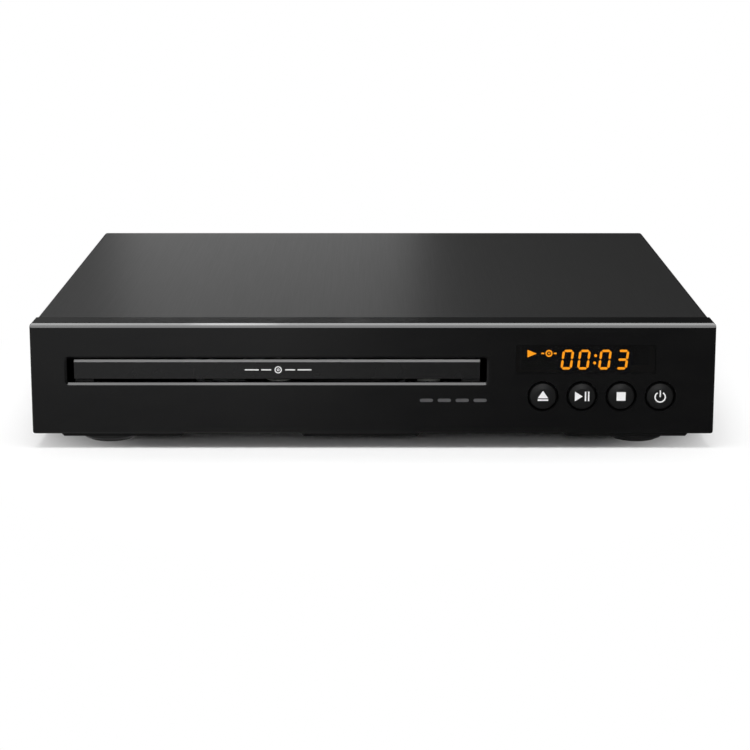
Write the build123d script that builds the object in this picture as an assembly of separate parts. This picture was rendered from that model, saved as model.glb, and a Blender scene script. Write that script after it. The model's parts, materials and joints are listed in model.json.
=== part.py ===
from build123d import *
import math
import os

# A compact disc player with a motor driven tray, in millimetres.
# +X is the player's right as seen from the front, +Y runs to the back, +Z is up.
# The origin is on the table, under the middle of the whole player.

# Overall sizes
PANEL_WIDTH = 225.0
PANEL_HEIGHT = 37.0
PANEL_LIFT = 5.0
BODY_DEPTH = 197.0
JACK_REACH = 8.0
TOP = PANEL_LIFT + PANEL_HEIGHT
DEPTH = BODY_DEPTH + JACK_REACH
FRONT = -DEPTH / 2
REAR = FRONT + BODY_DEPTH

# Clearances
SLIP = 0.1
PLAY = 0.2
BORE_PLAY = 0.06

# Steel sheet of the base, the cover and the rear panel
SHEET = 0.8
BEND = 1.5
FLOOR = PANEL_LIFT + SHEET

# Moulded front panel
PANEL_WALL = 2.4
PANEL_SIDE = 1.8
PANEL_LEDGE = 8.5
PANEL_LIP = 3.0
TOP_BEVEL = 1.3
CORNER = 1.8
OPENING_WIDTH = 138.2
OPENING_HEIGHT = 8.2
OPENING_Z = 22.15
OPENING_BEVEL = 0.7

# Tray door, which closes the panel's opening
DOOR_WIDTH = 133.7
DOOR_HEIGHT = 6.3
DOOR_Z = 23.25
DOOR_RECESS = 1.7
DOOR_THICK = 3.0
DOOR_BEVEL = 0.7

# Disc tray
LOADER_X = -31.6
TRAY_WIDTH = 129.0
TRAY_REAR = FRONT + 148.0
TRAY_BOTTOM = 22.7
TRAY_TOP = 28.6
SLAB_BOTTOM = 24.8
DISC_FLOOR = 26.4
SMALL_DISC_FLOOR = 25.8
DISC_RADIUS = 60.5
SMALL_DISC_RADIUS = 40.5
DISC_Y = FRONT + 68.0
SLOT_HALF = 20.0
SLOT_RADIUS = 22.0
RAIL_WIDTH = 4.5
TRAY_TRAVEL = 126.0

# Gear teeth
PRESSURE = math.radians(25.0)
ADDENDUM = 0.9
DEDENDUM = 1.15
BACKLASH = 0.12
TRAY_MODULE = 1.0
TRAY_PINION_TEETH = 16
TRAY_WHEEL_TEETH = 24
PULLEY_PINION_TEETH = 12
SLED_MODULE = 0.6
SLED_GEAR_TEETH = 24
SLED_PINION_TEETH = 12

# Loader frame
LOADER_BASE = 8.0
LOADER_PLATE = 2.0
LOADER_FLOOR = LOADER_BASE + LOADER_PLATE
LOADER_WALL = 2.0
LOADER_WALL_TOP = 33.0
LOADER_FRONT = FRONT + 5.0
LOADER_REAR = FRONT + 152.0
EAR_REACH = 6.0
WALL_INNER = TRAY_WIDTH / 2 + 0.5
WALL_OUTER = WALL_INNER + LOADER_WALL
LEDGE_THICK = 1.2
AXLE_RADIUS = 1.5

# Drive train in front of the disc
GEAR_Y = FRONT + 20.0
RACK_PITCH_X = LOADER_X + TRAY_WIDTH / 2 - RAIL_WIDTH - DEDENDUM * TRAY_MODULE - 0.35
TRAY_GEAR_X = RACK_PITCH_X - TRAY_MODULE * TRAY_PINION_TEETH / 2
PULLEY_GEAR_X = TRAY_GEAR_X - TRAY_MODULE * (TRAY_WHEEL_TEETH + PULLEY_PINION_TEETH) / 2
MOTOR_X = PULLEY_GEAR_X - 32.5
PULLEY_RADIUS = 10.0
MOTOR_PULLEY_RADIUS = 4.0
BELT_SIZE = 1.4
WHEEL_Z = 12.6
WHEEL_THICK = 3.4
PULLEY_Z = 19.3
PULLEY_THICK = 3.0
MOTOR_RADIUS = 10.0
MOTOR_BOTTOM = 6.6
MOTOR_TOP = 17.9

# Traverse that carries the spindle and the pickup, drawn raised and then lowered
PIVOT_Y = FRONT + 144.5
PIVOT_Z = 14.0
TILT = 3.6
TRAVERSE_LEFT = LOADER_X - 32.0
TRAVERSE_RIGHT = LOADER_X + 45.0
TRAVERSE_FRONT = FRONT + 46.0
TRAVERSE_REAR = FRONT + 148.0
PLATE_BOTTOM = 13.0
PLATE_TOP = 15.0
TRUNNION_RADIUS = 3.0
TRUNNION_REACH = 5.0
SEAT_Z = 28.0
TURNTABLE_RADIUS = 14.0
SPINDLE_RADIUS = 1.0
SPINDLE_MOTOR_RADIUS = 12.0
SPINDLE_MOTOR_TOP = 24.4

# Cam slider that lifts the front of the traverse
CAM_TRAVEL = 16.0
CAM_FRONT = FRONT + 41.5
CAM_THICK = 2.5
CAM_PIN_Z = 20.5
CAM_PIN_RADIUS = 1.5
CAM_SLOT_PLAY = 0.25
CAM_TOP = 23.4

# Pickup sled
ROD_RADIUS = 1.5
ROD_X = 21.0
ROD_Z = 17.5
PICKUP_FRONT = FRONT + 84.0
PICKUP_LENGTH = 22.0
PICKUP_HALF = 15.5
PICKUP_TOP = 24.2
PICKUP_BOTTOM = 10.8
SLED_TRAVEL = 33.0
LENS_Y = FRONT + 92.5
EAR_FACE = 24.0
SLED_GEAR_Y = FRONT + 112.0
SLED_PITCH_X = LOADER_X + EAR_FACE + 3.0
SLED_GEAR_X = SLED_PITCH_X + SLED_MODULE * SLED_GEAR_TEETH / 2
SLED_PINION_Y = SLED_GEAR_Y + SLED_MODULE * (SLED_GEAR_TEETH + SLED_PINION_TEETH) / 2

# Clamp over the disc
BRIDGE_WIDTH = 30.0
BRIDGE_THICK = 2.0
BRIDGE_TOP = LOADER_WALL_TOP + BRIDGE_THICK
CLAMPER_BOTTOM = 29.6
CLAMPER_RADIUS = 15.0
NECK_RADIUS = 9.0

# Display and buttons, right of the tray
WINDOW_LEFT = 47.0
WINDOW_RIGHT = 93.0
WINDOW_BOTTOM = 25.2
WINDOW_TOP = 34.8
BUTTON_X = 56.06
BUTTON_PITCH = 12.88
BUTTON_Z = 17.6
BUTTON_RADIUS = 4.5
BUTTON_HOLE = 4.95
BUTTON_TRAVEL = 0.6
BUTTON_NAMES = ("eject_button", "play_button", "stop_button", "power_button")
COLLAR_DEPTH = 5.5
DISPLAY_BOARD_Y = FRONT + 12.6
BOARD = 1.6

# Feet and pressed pads of the base
FOOT_RADIUS = 10.0
FOOT_X = 88.5
FOOT_INSET = 17.0
PAD_DROP = 1.5
FRONT_FLANGE_TOP = PANEL_LIFT + 6.0
SIDE_FLANGE_TOP = PANEL_LIFT + 14.0
PAD_LENGTH = 28.0
PAD_SPANS = ((-104.0, -62.0), (-24.4, 16.2), (62.9, 105.2))
RUBBER_RADIUS = 7.5
RUBBER_SINK = 0.8

# Boards, connectors and power supply
BOARD_Z = FLOOR + 6.0
BOARD_TOP = BOARD_Z + BOARD
MAIN_LEFT = 46.0
MAIN_RIGHT = 108.0
MAIN_FRONT = FRONT + 40.0
POWER_LEFT = -106.0
POWER_RIGHT = -12.0
POWER_FRONT = FRONT + 156.0
JACK_Z = 23.0
JACK_X = (70.0, 81.5, 93.0, 104.5)
JACK_NAMES = ("coax_insert", "video_insert", "left_insert", "right_insert")
JACK_RADIUS = 4.15
JACK_BORE = 3.65
JACK_FLANGE = 5.3
HDMI_X = 56.0
INLET_X = -84.0
INLET_Z = 24.0
COVER_HEM = 9.0
SCREW_RADIUS = 1.5
HEAD_RADIUS = 3.0
HEAD_HEIGHT = 1.8
COVER_HEAD = 1.0

REAR_FACE = REAR - SHEET
REAR_INNER = REAR_FACE - SHEET
BASE_HALF = PANEL_WIDTH / 2 - PANEL_SIDE - SLIP
COVER_HALF = BASE_HALF + SHEET


def block(x, y, z):
    """Box between two values on each axis."""
    size = Box(x[1] - x[0], y[1] - y[0], z[1] - z[0])
    return Pos((x[0] + x[1]) / 2, (y[0] + y[1]) / 2, (z[0] + z[1]) / 2) * size


def post(x, y, z, radius):
    """Upright cylinder between two heights."""
    return Pos(x, y, (z[0] + z[1]) / 2) * Cylinder(radius, z[1] - z[0])


def bar_y(x, y, z, radius):
    """Cylinder that runs front to back."""
    return Pos(x, (y[0] + y[1]) / 2, z) * Rot(90, 0, 0) * Cylinder(radius, y[1] - y[0])


def bar_x(x, y, z, radius):
    """Cylinder that runs left to right."""
    return Pos((x[0] + x[1]) / 2, y, z) * Rot(0, 90, 0) * Cylinder(radius, x[1] - x[0])


def turned(points, x, y):
    """Solid of revolution about an upright axis, from radius and height pairs."""
    outline = Plane.XZ * make_face(Polyline(*points, close=True))
    return Pos(x, y, 0) * revolve(outline, Axis.Z, 360)


def side_profile(points, x):
    """Prism along X from depth and height pairs."""
    outline = make_face(Polyline(*[(0, y, z) for y, z in points], close=True))
    return Pos(x[0], 0, 0) * extrude(outline, amount=x[1] - x[0], dir=(1, 0, 0))


def lowered(shape):
    """Place a piece of the traverse in its lowered resting position."""
    return shape.rotate(Axis((0, PIVOT_Y, PIVOT_Z), (1, 0, 0)), TILT)


def involute(radius, base):
    """Involute function of a flank point at this radius."""
    angle = math.acos(min(1.0, base / radius))
    return math.tan(angle) - angle


def gear(teeth, module, turn, x, y, z):
    """Spur gear with involute flanks and a tooth centred on the angle turn."""
    pitch = module * teeth / 2
    base = pitch * math.cos(PRESSURE)
    tip = pitch + ADDENDUM * module
    root = pitch - DEDENDUM * module
    start = max(base, root + 0.05 * module)
    half = (math.pi * module / 2 - BACKLASH) / (2 * pitch) + involute(pitch, base)

    def point(radius, flank_radius, middle, side):
        angle = middle + side * (half - involute(flank_radius, base))
        return (radius * math.cos(angle), radius * math.sin(angle))

    edges = []
    step = 2 * math.pi / teeth
    between = (start + tip) / 2
    for index in range(teeth):
        middle = math.radians(turn) + index * step
        low = [point(root, start, middle, side) for side in (-1, 1)]
        first = [point(start, start, middle, side) for side in (-1, 1)]
        mid = [point(between, between, middle, side) for side in (-1, 1)]
        high = [point(tip, tip, middle, side) for side in (-1, 1)]
        edges.append(Line(low[0], first[0]))
        edges.append(ThreePointArc(first[0], mid[0], high[0]))
        edges.append(Line(high[0], high[1]))
        edges.append(ThreePointArc(high[1], mid[1], first[1]))
        edges.append(Line(first[1], low[1]))
        edges.append(Line(low[1], point(root, start, middle + step, -1)))
    outline = make_face(edges)
    return Pos(x, y, z[0]) * extrude(outline, amount=z[1] - z[0])


def rack(module, pitch_x, facing, back_x, first_y, count, y, z):
    """Straight rack along Y whose teeth point towards facing, which is 1 or -1."""
    half = (math.pi * module / 2 - BACKLASH) / 2
    tip_x = pitch_x + facing * ADDENDUM * module
    root_x = pitch_x - facing * DEDENDUM * module
    tip_half = half - ADDENDUM * module * math.tan(PRESSURE)
    root_half = half + DEDENDUM * module * math.tan(PRESSURE)
    points = [(back_x, y[0]), (root_x, y[0])]
    for index in range(count):
        middle = first_y + index * math.pi * module
        points.append((root_x, middle - root_half))
        points.append((tip_x, middle - tip_half))
        points.append((tip_x, middle + tip_half))
        points.append((root_x, middle + root_half))
    points.append((root_x, y[1]))
    points.append((back_x, y[1]))
    outline = make_face(Polyline(*points, close=True))
    return Pos(0, 0, z[0]) * extrude(outline, amount=z[1] - z[0])


def screw(x, y, z, length, height=HEAD_HEIGHT):
    """Pan head screw that points down, with its head's seat at z."""
    head = post(x, y, (z, z + height), HEAD_RADIUS)
    head = chamfer(head.edges().group_by(Axis.Z)[-1], height * 0.35)
    cross = block((x - 1.4, x + 1.4), (y - 0.3, y + 0.3), (z + height - 0.6, z + height + 1))
    cross += block((x - 0.3, x + 0.3), (y - 1.4, y + 1.4), (z + height - 0.6, z + height + 1))
    return head + post(x, y, (z - length, z), SCREW_RADIUS) - cross


def button_centres():
    """Names and places of the four round buttons."""
    return [(name, BUTTON_X + index * BUTTON_PITCH) for index, name in enumerate(BUTTON_NAMES)]


def foot_centres():
    """Places of the four feet."""
    depths = (FRONT + FOOT_INSET, REAR - FOOT_INSET)
    return [(x, y) for y in depths for x in (-FOOT_X, FOOT_X)]


def loader_screw_centres():
    """Places of the loader's four ears."""
    offset = WALL_OUTER + EAR_REACH / 2
    depths = (LOADER_FRONT + 10.0, LOADER_REAR - 10.0)
    return [(LOADER_X + side * offset, y) for y in depths for side in (-1, 1)]


def board_screw_centres():
    """Corners of the two flat boards."""
    inset = 4.0
    spots = []
    for left, right, front in ((MAIN_LEFT, MAIN_RIGHT, MAIN_FRONT), (POWER_LEFT, POWER_RIGHT, POWER_FRONT)):
        for x in (left + inset, right - inset):
            for y in (front + inset, REAR_INNER - 20.0):
                spots.append((x, y))
    return spots


def side_screw_centres():
    """Depth and height of the two screws in each side of the cover."""
    return [(FRONT + 40.0, FLOOR + 10.0), (REAR - 40.0, FLOOR + 10.0)]


def rear_screw_x():
    """Places of the three screws in the cover's rear hem."""
    return [-BASE_HALF + 12.0, 0.0, BASE_HALF - 12.0]


def make_front_panel():
    """Moulded front with the tray opening, display opening and button collars."""
    half = PANEL_WIDTH / 2
    body = block((-half, half), (FRONT, FRONT + PANEL_LEDGE), (PANEL_LIFT, TOP))
    along = body.edges().filter_by(Axis.Y)
    body = fillet(along.group_by(Axis.Z)[-1], CORNER)
    body = fillet(body.edges().filter_by(Axis.Y).group_by(Axis.Z)[0], CORNER * 0.55)
    bevel = [(FRONT - 1, TOP + 1), (FRONT - 1, TOP - TOP_BEVEL - 1), (FRONT + TOP_BEVEL + 1, TOP + 1)]
    body -= side_profile(bevel, (-half - 1, half + 1))
    inner = half - PANEL_SIDE
    body -= block((-inner, inner), (FRONT + PANEL_WALL, FRONT + PANEL_LEDGE + 1),
                  (PANEL_LIFT + PANEL_WALL, TOP - PANEL_WALL))
    body -= block((-inner, inner), (FRONT + PANEL_LIP, FRONT + PANEL_LEDGE + 1),
                  (PANEL_LIFT - 1, PANEL_LIFT + PANEL_WALL + 1))
    left = LOADER_X - OPENING_WIDTH / 2
    right = LOADER_X + OPENING_WIDTH / 2
    opening = block((left, right), (FRONT - 1, FRONT + PANEL_WALL + 1), (OPENING_Z, OPENING_Z + OPENING_HEIGHT))
    opening = fillet(opening.edges().filter_by(Axis.Y), 0.8)
    body -= opening
    rim = body.edges().filter_by_position(Axis.Y, FRONT - 0.01, FRONT + 0.01)
    rim = rim.filter_by(lambda e: left - 1 < e.center().X < right + 1 and
                        OPENING_Z - 1 < e.center().Z < OPENING_Z + OPENING_HEIGHT + 1)
    body = chamfer(rim, OPENING_BEVEL)
    for _, x in button_centres():
        body += bar_y(x, (FRONT + PANEL_WALL, FRONT + COLLAR_DEPTH), BUTTON_Z, BUTTON_HOLE + 1.0)
    for _, x in button_centres():
        body -= bar_y(x, (FRONT - 1, FRONT + COLLAR_DEPTH + 1), BUTTON_Z, BUTTON_HOLE)
        cone = Pos(x, FRONT + 0.25, BUTTON_Z) * Rot(90, 0, 0) * Cone(BUTTON_HOLE, BUTTON_HOLE + 0.5, 0.5)
        body -= cone
    body -= block((WINDOW_LEFT, WINDOW_RIGHT), (FRONT - 1, FRONT + PANEL_WALL + 1), (WINDOW_BOTTOM, WINDOW_TOP))
    for x in (MAIN_LEFT + 3.0, MAIN_RIGHT - 3.0):
        for z in (FRONT_FLANGE_TOP + 2.5, TOP - PANEL_WALL - 1.0):
            body += bar_y(x, (FRONT + PANEL_WALL, DISPLAY_BOARD_Y), z, 2.2)
    for x in (-90.0, -31.6, 30.0):
        body += block((x - 6, x + 6), (FRONT + PANEL_WALL, FRONT + PANEL_LIP),
                      (PANEL_LIFT + PANEL_WALL, PANEL_LIFT + 9.0))
    return body


def make_display_window():
    """Smoked window with a step that seats behind the panel's wall."""
    front = block((WINDOW_LEFT + SLIP, WINDOW_RIGHT - SLIP), (FRONT + SLIP, FRONT + PANEL_WALL),
                  (WINDOW_BOTTOM + SLIP, WINDOW_TOP - SLIP))
    step = 1.2
    flange = block((WINDOW_LEFT - step, WINDOW_RIGHT + step), (FRONT + PANEL_WALL, FRONT + PANEL_WALL + 1.0),
                   (WINDOW_BOTTOM - step, WINDOW_TOP + step))
    return front + flange


def make_button(x):
    """Round domed cap with a skirt, a stop flange and a plunger."""
    flange_front = COLLAR_DEPTH + SLIP
    points = [(0.0, 0.1), (BUTTON_RADIUS * 0.55, 0.2), (BUTTON_RADIUS - 0.35, 0.5), (BUTTON_RADIUS, 0.9),
              (BUTTON_RADIUS, flange_front), (BUTTON_HOLE + 0.7, flange_front),
              (BUTTON_HOLE + 0.7, flange_front + 0.8), (1.6, flange_front + 0.8),
              (1.6, flange_front + 1.8), (0.0, flange_front + 1.8)]
    outline = make_face(Polyline(*points, close=True))
    cap = revolve(outline, Axis.Y, 360)
    return Pos(x, FRONT, BUTTON_Z) * cap


def make_tray_door():
    """Door strip on the front of the tray, with two clips behind it."""
    half = DOOR_WIDTH / 2
    front = FRONT + DOOR_RECESS
    door = block((LOADER_X - half, LOADER_X + half), (front, front + DOOR_THICK), (DOOR_Z, DOOR_Z + DOOR_HEIGHT))
    door = chamfer(door.edges().filter_by(Axis.X).group_by(Axis.Y)[0].sort_by(Axis.Z)[-1], DOOR_BEVEL)
    return door


def make_disc_tray():
    """Tray with its disc seats, pickup slot, side rails and toothed rack."""
    half = TRAY_WIDTH / 2
    front = FRONT + DOOR_RECESS + DOOR_THICK
    body = block((LOADER_X - half, LOADER_X + half), (front, TRAY_REAR), (SLAB_BOTTOM, TRAY_TOP))
    body = fillet(body.edges().filter_by(Axis.Z).group_by(Axis.Y)[-1], 5.0)
    body -= post(LOADER_X, DISC_Y, (DISC_FLOOR, TRAY_TOP + 1), DISC_RADIUS)
    body -= post(LOADER_X, DISC_Y, (SMALL_DISC_FLOOR, TRAY_TOP + 1), SMALL_DISC_RADIUS)
    for side in (-1, 1):
        x = LOADER_X + side * (half - RAIL_WIDTH / 2)
        body += block((x - RAIL_WIDTH / 2, x + RAIL_WIDTH / 2), (front, TRAY_REAR - 6.0),
                      (TRAY_BOTTOM, SLAB_BOTTOM))
        notch_x = LOADER_X + side * SMALL_DISC_RADIUS * 1.28
        body -= post(notch_x, FRONT + 14.0, (SMALL_DISC_FLOOR, TRAY_TOP + 1), 7.0)
    body -= post(LOADER_X, DISC_Y, (TRAY_BOTTOM, TRAY_TOP + 1), SLOT_RADIUS)
    body -= block((LOADER_X - SLOT_HALF, LOADER_X + SLOT_HALF), (DISC_Y, TRAY_REAR + 1), (TRAY_BOTTOM, TRAY_TOP + 1))
    pitch = math.pi * TRAY_MODULE
    first = GEAR_Y - 2 * pitch
    count = int((TRAY_REAR - 2.0 - first) / pitch) + 1
    body += rack(TRAY_MODULE, RACK_PITCH_X, -1, LOADER_X + half - RAIL_WIDTH, first, count,
                 (first - pitch, TRAY_REAR - 1.0), (TRAY_BOTTOM, SLAB_BOTTOM))
    return body


def make_loader_frame():
    """Moulded frame that guides the tray and holds the drive train and traverse."""
    body = block((LOADER_X - WALL_OUTER, LOADER_X + WALL_OUTER), (LOADER_FRONT, LOADER_REAR),
                 (LOADER_BASE, LOADER_FLOOR))
    gap = 1.5
    body -= block((TRAVERSE_LEFT - gap, TRAVERSE_RIGHT + gap), (CAM_FRONT + CAM_THICK + 0.8, LOADER_REAR - 2.0),
                  (LOADER_BASE - 1, LOADER_FLOOR + 1))
    for side in (-1, 1):
        inner = LOADER_X + side * WALL_INNER
        outer = LOADER_X + side * WALL_OUTER
        wall = (min(inner, outer), max(inner, outer))
        body += block(wall, (LOADER_FRONT + 1.0, LOADER_REAR), (LOADER_BASE, LOADER_WALL_TOP))
        ledge = (min(inner, inner - side * 4.0), max(inner, inner - side * 4.0))
        body += block(ledge, (LOADER_FRONT + 1.0, LOADER_REAR), (TRAY_BOTTOM - PLAY - LEDGE_THICK, TRAY_BOTTOM - PLAY))
        lip = (min(inner, inner - side * 3.0), max(inner, inner - side * 3.0))
        for start in (6.0, 58.0, 110.0):
            body += block(lip, (LOADER_FRONT + start, LOADER_FRONT + start + 20.0),
                          (TRAY_TOP + PLAY, TRAY_TOP + PLAY + LEDGE_THICK))
    body += block((LOADER_X - WALL_OUTER, LOADER_X + WALL_OUTER), (LOADER_FRONT, LOADER_FRONT + 1.5),
                  (LOADER_BASE, TRAY_BOTTOM - PLAY - LEDGE_THICK))
    for x, y in loader_screw_centres():
        ear = post(x, y, (LOADER_BASE, LOADER_FLOOR), EAR_REACH / 2 + 1.0)
        ear += post(x, y, (FLOOR, LOADER_BASE), EAR_REACH / 2)
        body += ear
        body -= post(x, y, (FLOOR - 1, LOADER_FLOOR + 1), SCREW_RADIUS + SLIP)
    body += post(TRAY_GEAR_X, GEAR_Y, (LOADER_FLOOR, SLAB_BOTTOM - 0.4), AXLE_RADIUS)
    body += post(PULLEY_GEAR_X, GEAR_Y, (LOADER_FLOOR, PULLEY_Z + PULLEY_THICK + 0.4), AXLE_RADIUS)
    cup = MOTOR_RADIUS + PLAY
    body += post(MOTOR_X, GEAR_Y, (LOADER_BASE, MOTOR_TOP + 1.1), cup + 1.5)
    body -= post(MOTOR_X, GEAR_Y, (LOADER_BASE - 1, MOTOR_TOP + SLIP), cup)
    body -= post(MOTOR_X, GEAR_Y, (LOADER_BASE - 1, MOTOR_TOP + 2), MOTOR_PULLEY_RADIUS - 0.8)
    for side in (-1, 1):
        x = LOADER_X + side * 26.0
        body += block((x - 10, x + 10), (CAM_FRONT - PLAY - 1.0, CAM_FRONT - PLAY), (LOADER_FLOOR, LOADER_FLOOR + 2.5))
        rear = CAM_FRONT + CAM_THICK + PLAY
        body += block((x - 10, x + 10), (rear, rear + 0.6), (LOADER_FLOOR, LOADER_FLOOR + 1.6))
    ear_thick = 3.0
    for inner, direction in ((TRAVERSE_LEFT - 2.0, -1), (TRAVERSE_RIGHT + 2.0, 1)):
        x = (min(inner, inner + direction * ear_thick), max(inner, inner + direction * ear_thick))
        body += block(x, (PIVOT_Y - 5.0, PIVOT_Y + 5.0), (LOADER_BASE, PIVOT_Z + 5.0))
        body -= bar_x((x[0] - 1, x[1] + 1), PIVOT_Y, PIVOT_Z, TRUNNION_RADIUS + BORE_PLAY)
    return body


def make_clamp_bridge():
    """Steel bridge over the disc that holds the clamper."""
    y = (DISC_Y - BRIDGE_WIDTH / 2, DISC_Y + BRIDGE_WIDTH / 2)
    bridge = block((LOADER_X - WALL_OUTER, LOADER_X + WALL_OUTER), y, (LOADER_WALL_TOP, BRIDGE_TOP))
    bridge += post(LOADER_X, DISC_Y, (LOADER_WALL_TOP, BRIDGE_TOP), BRIDGE_WIDTH * 0.62)
    bridge -= post(LOADER_X, DISC_Y, (LOADER_WALL_TOP - 1, BRIDGE_TOP + 1), NECK_RADIUS + 0.6)
    for side in (-1, 1):
        x = LOADER_X + side * (WALL_OUTER - 22.0)
        window = block((x - 9, x + 9), (DISC_Y - 8, DISC_Y + 8), (LOADER_WALL_TOP - 1, BRIDGE_TOP + 1))
        bridge -= fillet(window.edges().filter_by(Axis.Z), 3.0)
    return bridge


def make_clamper():
    """Spinning clamp plate that hangs in the bridge by its upper flange."""
    rim = BRIDGE_TOP + PLAY
    under = LOADER_WALL_TOP - 0.6
    points = [(8.5, CLAMPER_BOTTOM), (CLAMPER_RADIUS, CLAMPER_BOTTOM), (CLAMPER_RADIUS, under), (NECK_RADIUS, under),
              (NECK_RADIUS, rim), (NECK_RADIUS + 4.0, rim), (NECK_RADIUS + 4.0, rim + 1.2), (7.0, rim + 1.2),
              (7.0, under + 1.0), (0.0, under + 1.0), (0.0, under - PLAY), (8.5, under - PLAY)]
    return turned(points, LOADER_X, DISC_Y)


def make_clamper_magnet():
    """Ring magnet in the clamper's pocket."""
    bottom = LOADER_WALL_TOP + 0.4
    ring = post(LOADER_X, DISC_Y, (bottom, bottom + 2.4), 7.0 - SLIP)
    return ring - post(LOADER_X, DISC_Y, (bottom - 1, bottom + 4), 3.0)


def make_tray_gear():
    """Stepped gear whose upper pinion drives the tray's rack."""
    turn = 180.0 / TRAY_PINION_TEETH
    x, y = TRAY_GEAR_X, GEAR_Y
    wheel_top = WHEEL_Z + WHEEL_THICK
    body = gear(TRAY_WHEEL_TEETH, TRAY_MODULE, 0.0, x, y, (WHEEL_Z, wheel_top))
    body += post(x, y, (LOADER_FLOOR + PLAY, TRAY_BOTTOM - 0.1), 4.0)
    body += gear(TRAY_PINION_TEETH, TRAY_MODULE, turn, x, y, (TRAY_BOTTOM - 0.1, SLAB_BOTTOM - 0.4))
    for index in range(6):
        spoke = math.radians(30.0 + 60.0 * index)
        hole_x = x + 7.3 * math.cos(spoke)
        hole_y = y + 7.3 * math.sin(spoke)
        body -= post(hole_x, hole_y, (WHEEL_Z - 1, wheel_top + 1), 2.2)
    return body - post(x, y, (LOADER_BASE, TRAY_TOP), AXLE_RADIUS + BORE_PLAY)


def make_pulley_gear():
    """Belt pulley and pinion in one moulding."""
    turn = 180.0 / PULLEY_PINION_TEETH
    x, y = PULLEY_GEAR_X, GEAR_Y
    body = gear(PULLEY_PINION_TEETH, TRAY_MODULE, turn, x, y, (WHEEL_Z - 0.4, WHEEL_Z + WHEEL_THICK + 0.4))
    body += post(x, y, (LOADER_FLOOR + PLAY, WHEEL_Z), 3.5)
    body += post(x, y, (WHEEL_Z + WHEEL_THICK, PULLEY_Z), 3.8)
    body += make_pulley(x, y, PULLEY_RADIUS)
    return body - post(x, y, (LOADER_BASE, TRAY_TOP), AXLE_RADIUS + BORE_PLAY)


def make_pulley(x, y, radius):
    """Grooved wheel for the belt, whose centre line runs at this radius."""
    groove = radius - BELT_SIZE / 2 - SLIP
    flange = radius + 0.5
    low = PULLEY_Z
    high = PULLEY_Z + PULLEY_THICK
    points = [(0, low), (flange, low), (flange, low + 0.5), (groove, low + 0.7), (groove, high - 0.7),
              (flange, high - 0.5), (flange, high), (0, high)]
    return turned(points, x, y)


def make_motor_pulley():
    """Small pulley on the loading motor's shaft."""
    shaft = post(MOTOR_X, GEAR_Y, (MOTOR_BOTTOM + 2.0, PULLEY_Z), SPINDLE_RADIUS)
    return make_pulley(MOTOR_X, GEAR_Y, MOTOR_PULLEY_RADIUS) + shaft


def make_loading_motor():
    """Round motor can with a flat on each side and a bearing boss."""
    can = post(MOTOR_X, GEAR_Y, (MOTOR_BOTTOM, MOTOR_TOP), MOTOR_RADIUS)
    for side in (-1, 1):
        flat = side * MOTOR_RADIUS * 0.8
        x = (min(flat, flat * 2) + MOTOR_X, max(flat, flat * 2) + MOTOR_X)
        can -= block(x, (GEAR_Y - MOTOR_RADIUS, GEAR_Y + MOTOR_RADIUS), (MOTOR_BOTTOM - 1, MOTOR_TOP + 1))
    can += post(MOTOR_X, GEAR_Y, (MOTOR_TOP, MOTOR_TOP + 1.0), 2.6)
    return can - post(MOTOR_X, GEAR_Y, (MOTOR_BOTTOM + 1.8, MOTOR_TOP + 2), SPINDLE_RADIUS + BORE_PLAY)


def belt_outline(grow):
    """Flat outline round both pulleys, at a distance from the belt's centre line."""
    big = PULLEY_RADIUS + grow
    small = MOTOR_PULLEY_RADIUS + grow
    span = PULLEY_GEAR_X - MOTOR_X
    lean = math.acos((big - small) / span)
    points = []
    for x, radius, sides in ((span, big, (1, -1)), (0.0, small, (-1, 1))):
        for side in sides:
            points.append((x - radius * math.cos(lean), side * radius * math.sin(lean)))
    outline = make_face(Polyline(*points, close=True)) + Pos(span, 0) * Circle(big) + Circle(small)
    return Pos(MOTOR_X, GEAR_Y) * outline


def make_drive_belt():
    """Square rubber belt in the pulleys' grooves."""
    ring = belt_outline(BELT_SIZE / 2) - belt_outline(-BELT_SIZE / 2)
    middle = PULLEY_Z + PULLEY_THICK / 2
    return Pos(0, 0, middle - BELT_SIZE / 2) * extrude(ring, amount=BELT_SIZE)


def pin_drop():
    """Height that the cam pin loses when the traverse is lowered."""
    reach = PIVOT_Y - (CAM_FRONT + CAM_THICK / 2)
    lever = math.radians(TILT)
    return reach * math.sin(lever) + (CAM_PIN_Z - PIVOT_Z) * (1 - math.cos(lever))


def make_cam_slider():
    """Upright sliding plate with the slanted slot for the traverse's pin."""
    low = CAM_PIN_Z - pin_drop()
    y = (CAM_FRONT, CAM_FRONT + CAM_THICK)
    left = LOADER_X - CAM_TRAVEL - 14.0
    right = LOADER_X + 14.0
    plate = block((left, right), y, (LOADER_FLOOR + PLAY, CAM_TOP))
    plate = chamfer(plate.edges().filter_by(Axis.Y).group_by(Axis.Z)[-1].sort_by(Axis.X)[-1], 6.0)
    slope = math.degrees(math.atan2(CAM_PIN_Z - low, CAM_TRAVEL))
    length = math.hypot(CAM_TRAVEL, CAM_PIN_Z - low)
    slot = SlotCenterToCenter(length, 2 * (CAM_PIN_RADIUS + CAM_SLOT_PLAY))
    slot = extrude(Rot(0, 0, -slope) * slot, amount=CAM_THICK + 2, both=True)
    middle_x = LOADER_X - CAM_TRAVEL / 2
    plate -= Pos(middle_x, CAM_FRONT, (CAM_PIN_Z + low) / 2) * Rot(90, 0, 0) * slot
    plate -= block((left + 3.0, left + 6.0), (y[0] - 1, y[1] + 1), (LOADER_FLOOR + 4.0, CAM_TOP - 3.0))
    return plate


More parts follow.
